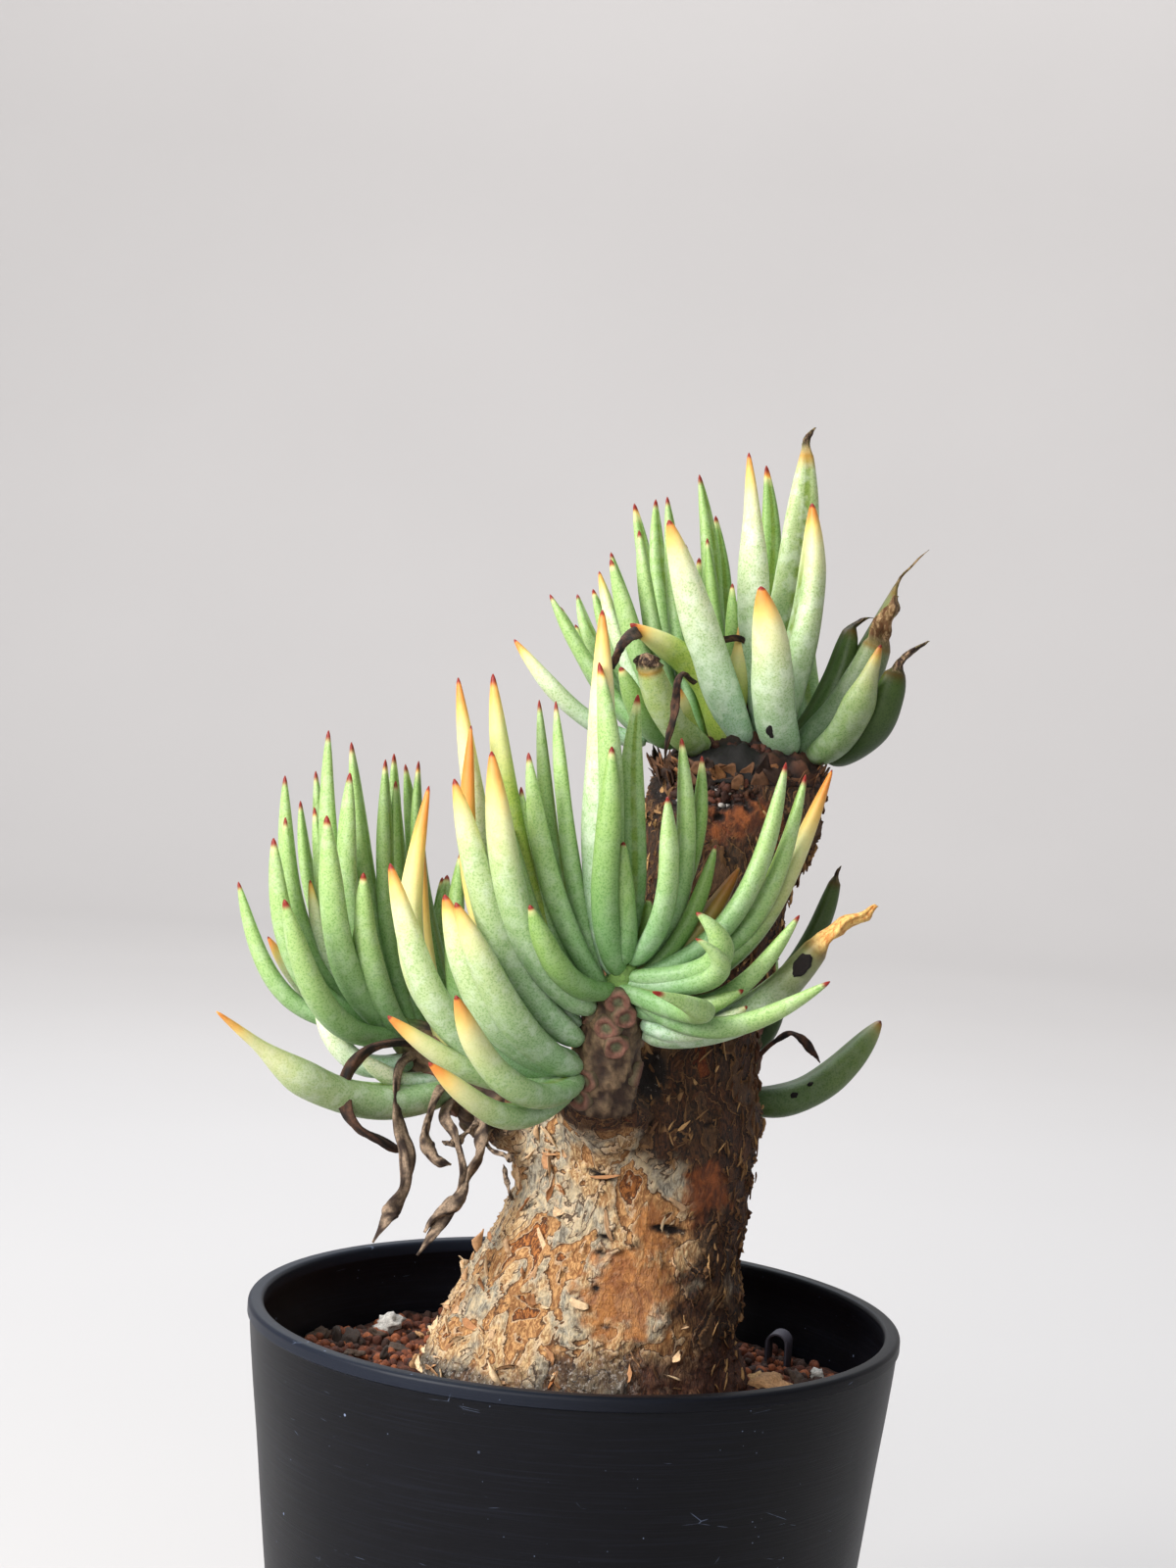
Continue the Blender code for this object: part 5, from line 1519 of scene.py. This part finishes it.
def make_label(material):
    """Narrow plastic strip folded over into a loop, both legs in the soil."""
    half = STUB_LEG_GAP / 2 + STUB_THICKNESS / 2
    bend = STUB_TOP - STUB_THICKNESS / 2 - half
    path = [(-half, STUB_BOTTOM), (-half, bend)]
    path += arc((0.0, bend), half, 168, 12, 12)
    path += [(half, bend), (half, STUB_BOTTOM)]
    turn = Matrix.Rotation(STUB_TURN, 3, "Z")
    half_width = STUB_WIDTH / 2
    across = [-half_width, STUB_ROUNDING - half_width, half_width - STUB_ROUNDING, half_width]
    shape = Shape("tint")
    points = []
    for k, (y, z) in enumerate(path):
        before, after = path[max(k - 1, 0)], path[min(k + 1, len(path) - 1)]
        ahead = Vector((after[0] - before[0], after[1] - before[1])).normalized()
        out = Vector((-ahead.y, ahead.x)) * STUB_THICKNESS / 2
        for sign, row in ((-1.0, across), (1.0, across[::-1])):
            for x in row:
                shift = sign * (STUB_EDGE if abs(x) == half_width else 1.0)
                corner = Vector((x, y + out.x * shift, z + out.y * shift))
                points.append(turn @ corner + Vector((*STUB_PLACE, 0.0)))
    shape.add(points, loft_faces(len(path), 8), tint=srgb(64, 60, 70))
    shape.build("label_strip", material, "label", "label_stub")


def make_stage():
    """Pale floor that curves up all round into a plain backdrop, far behind every view."""
    outline = [(0.5, 0.0), (FLOOR_RADIUS * 0.5, 0.0)]
    outline += arc((FLOOR_RADIUS, SWEEP_RADIUS), SWEEP_RADIUS, -90, 0, 16)
    outline += [(FLOOR_RADIUS + SWEEP_RADIUS, BACKDROP_TOP)]
    points = []
    faces = []
    for r, z in outline:
        points += [(r * math.cos(a) * MM, r * math.sin(a) * MM, z * MM) for a in all_round(STAGE_SIDES)]
    for level in range(len(outline) - 1):
        for i in range(STAGE_SIDES):
            a, b = level * STAGE_SIDES + i, level * STAGE_SIDES + (i + 1) % STAGE_SIDES
            faces.append((a, b, b + STAGE_SIDES, a + STAGE_SIDES))
    faces.append(tuple(range(STAGE_SIDES)))
    mesh = bpy.data.meshes.new("backdrop")
    mesh.from_pydata(points, [], faces)
    mesh.shade_smooth()
    mesh.materials.append(stage_finish())
    backdrop = add_object("backdrop", mesh)


def add_light(name, place, aim, size, power, colour):
    """Round soft light; its diameter is in millimetres and its power in watts."""
    data = bpy.data.lights.new(name, "AREA")
    data.shape = "DISK"
    data.size = size * MM
    data.energy = power
    data.color = colour
    light = add_object(name, data)
    light.location = Vector(place) * MM
    light.rotation_euler = (Vector(aim) - Vector(place)).to_track_quat("-Z", "Y").to_euler()
    light.visible_camera = False


def make_lights():
    """Warm key from the left, soft fill from the front, cool light from behind, and a lit backdrop."""
    add_light("key_left", (-740.0, -560.0, 620.0), LIGHT_AIM, 480.0, 16.0, (1.0, 0.985, 0.95))
    add_light("front_fill", (-220.0, -900.0, 560.0), LIGHT_AIM, 600.0, 4.5, (1.0, 0.99, 0.97))
    add_light("sky_behind", (-150.0, 700.0, 900.0), LIGHT_AIM, 800.0, 4.0, (0.82, 0.91, 1.0))
    add_light("backdrop_wash", (0.0, 900.0, 2200.0), BACKDROP_AIM, 1600.0, 56.0, (1.0, 0.99, 0.98))
    world = bpy.data.worlds.new("studio")
    world.use_nodes = True
    sky = world.node_tree.nodes["Background"]
    sky.inputs["Color"].default_value = SKY_COLOUR
    sky.inputs["Strength"].default_value = SKY_STRENGTH
    bpy.context.scene.world = world


def make_camera():
    data = bpy.data.cameras.new("camera")
    data.lens = LENS
    data.sensor_width = 36.0
    data.clip_start = 0.01
    data.clip_end = 50.0
    camera = add_object("camera", data)
    level = Matrix.Rotation(math.radians(90.0 - CAMERA_PITCH), 4, "X")
    roll = Matrix.Rotation(math.radians(CAMERA_ROLL), 4, "Z")
    camera.matrix_world = Matrix.Translation(Vector(CAMERA_PLACE) * MM) @ level @ roll
    bpy.context.scene.camera = camera


def main():
    # Vector noise starts from the clock unless it is given a seed
    noise.seed_set(BARK_SEED)
    bpy.context.scene.view_settings.view_transform = "Standard"
    make_camera()
    make_lights()
    make_stage()
    make_pot(plastic_finish())
    make_soil(soil_finish())
    make_crumbs(grit_finish("granules", 0.9, 0.5, 0.6, 0.25))
    make_trunk(bark_finish())
    scraps = grit_finish("bark_scraps", 0.8, 0.8, 0.72, 0.12)
    make_flakes(scraps)
    make_rim(scraps)
    leaf = leaf_finish()
    front_rows = [(x, y, z - FRONT_SAG, *rest) for x, y, z, *rest in LEAVES_FRONT]
    crowns = {
        "top": (STEM_TOP, LEAVES_TOP + far_side_leaves(STEM_TOP, FAR_TOP)),
        "front": (STEM_FRONT, front_rows),
        "left": (STEM_LEFT, LEAVES_LEFT + far_side_leaves(STEM_LEFT, FAR_LEFT)),
        "back": (STEM_BACK, LEAVES_BACK + far_side_leaves(STEM_BACK, FAR_BACK)),
    }
    stem_skin = grit_finish("knobbly_stem", 0.75, 0.9, 0.62, 0.25)
    for name, (stem, rows) in crowns.items():
        make_leaves(name, stem, rows, leaf)
        if name != "top":
            make_stem(name, stem, FRONT_SCARS if name == "front" else [], stem_skin)
    make_dome(scraps)
    make_strands(grit_finish("withered_skin", 0.85, 0.6, 0.5, 0.2))
    make_spots(crowns, grit_finish("dead_spot", 0.95, 0.4, 0.5, 0.3))
    make_label(grit_finish("dull_label", 0.7, 3.0, 0.85, 0.05))


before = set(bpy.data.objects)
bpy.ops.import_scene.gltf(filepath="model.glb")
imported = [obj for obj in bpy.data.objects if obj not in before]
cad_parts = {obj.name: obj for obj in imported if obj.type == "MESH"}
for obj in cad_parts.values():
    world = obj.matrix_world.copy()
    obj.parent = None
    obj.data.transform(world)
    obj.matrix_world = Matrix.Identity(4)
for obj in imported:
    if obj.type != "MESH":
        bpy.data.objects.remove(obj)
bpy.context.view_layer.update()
main()
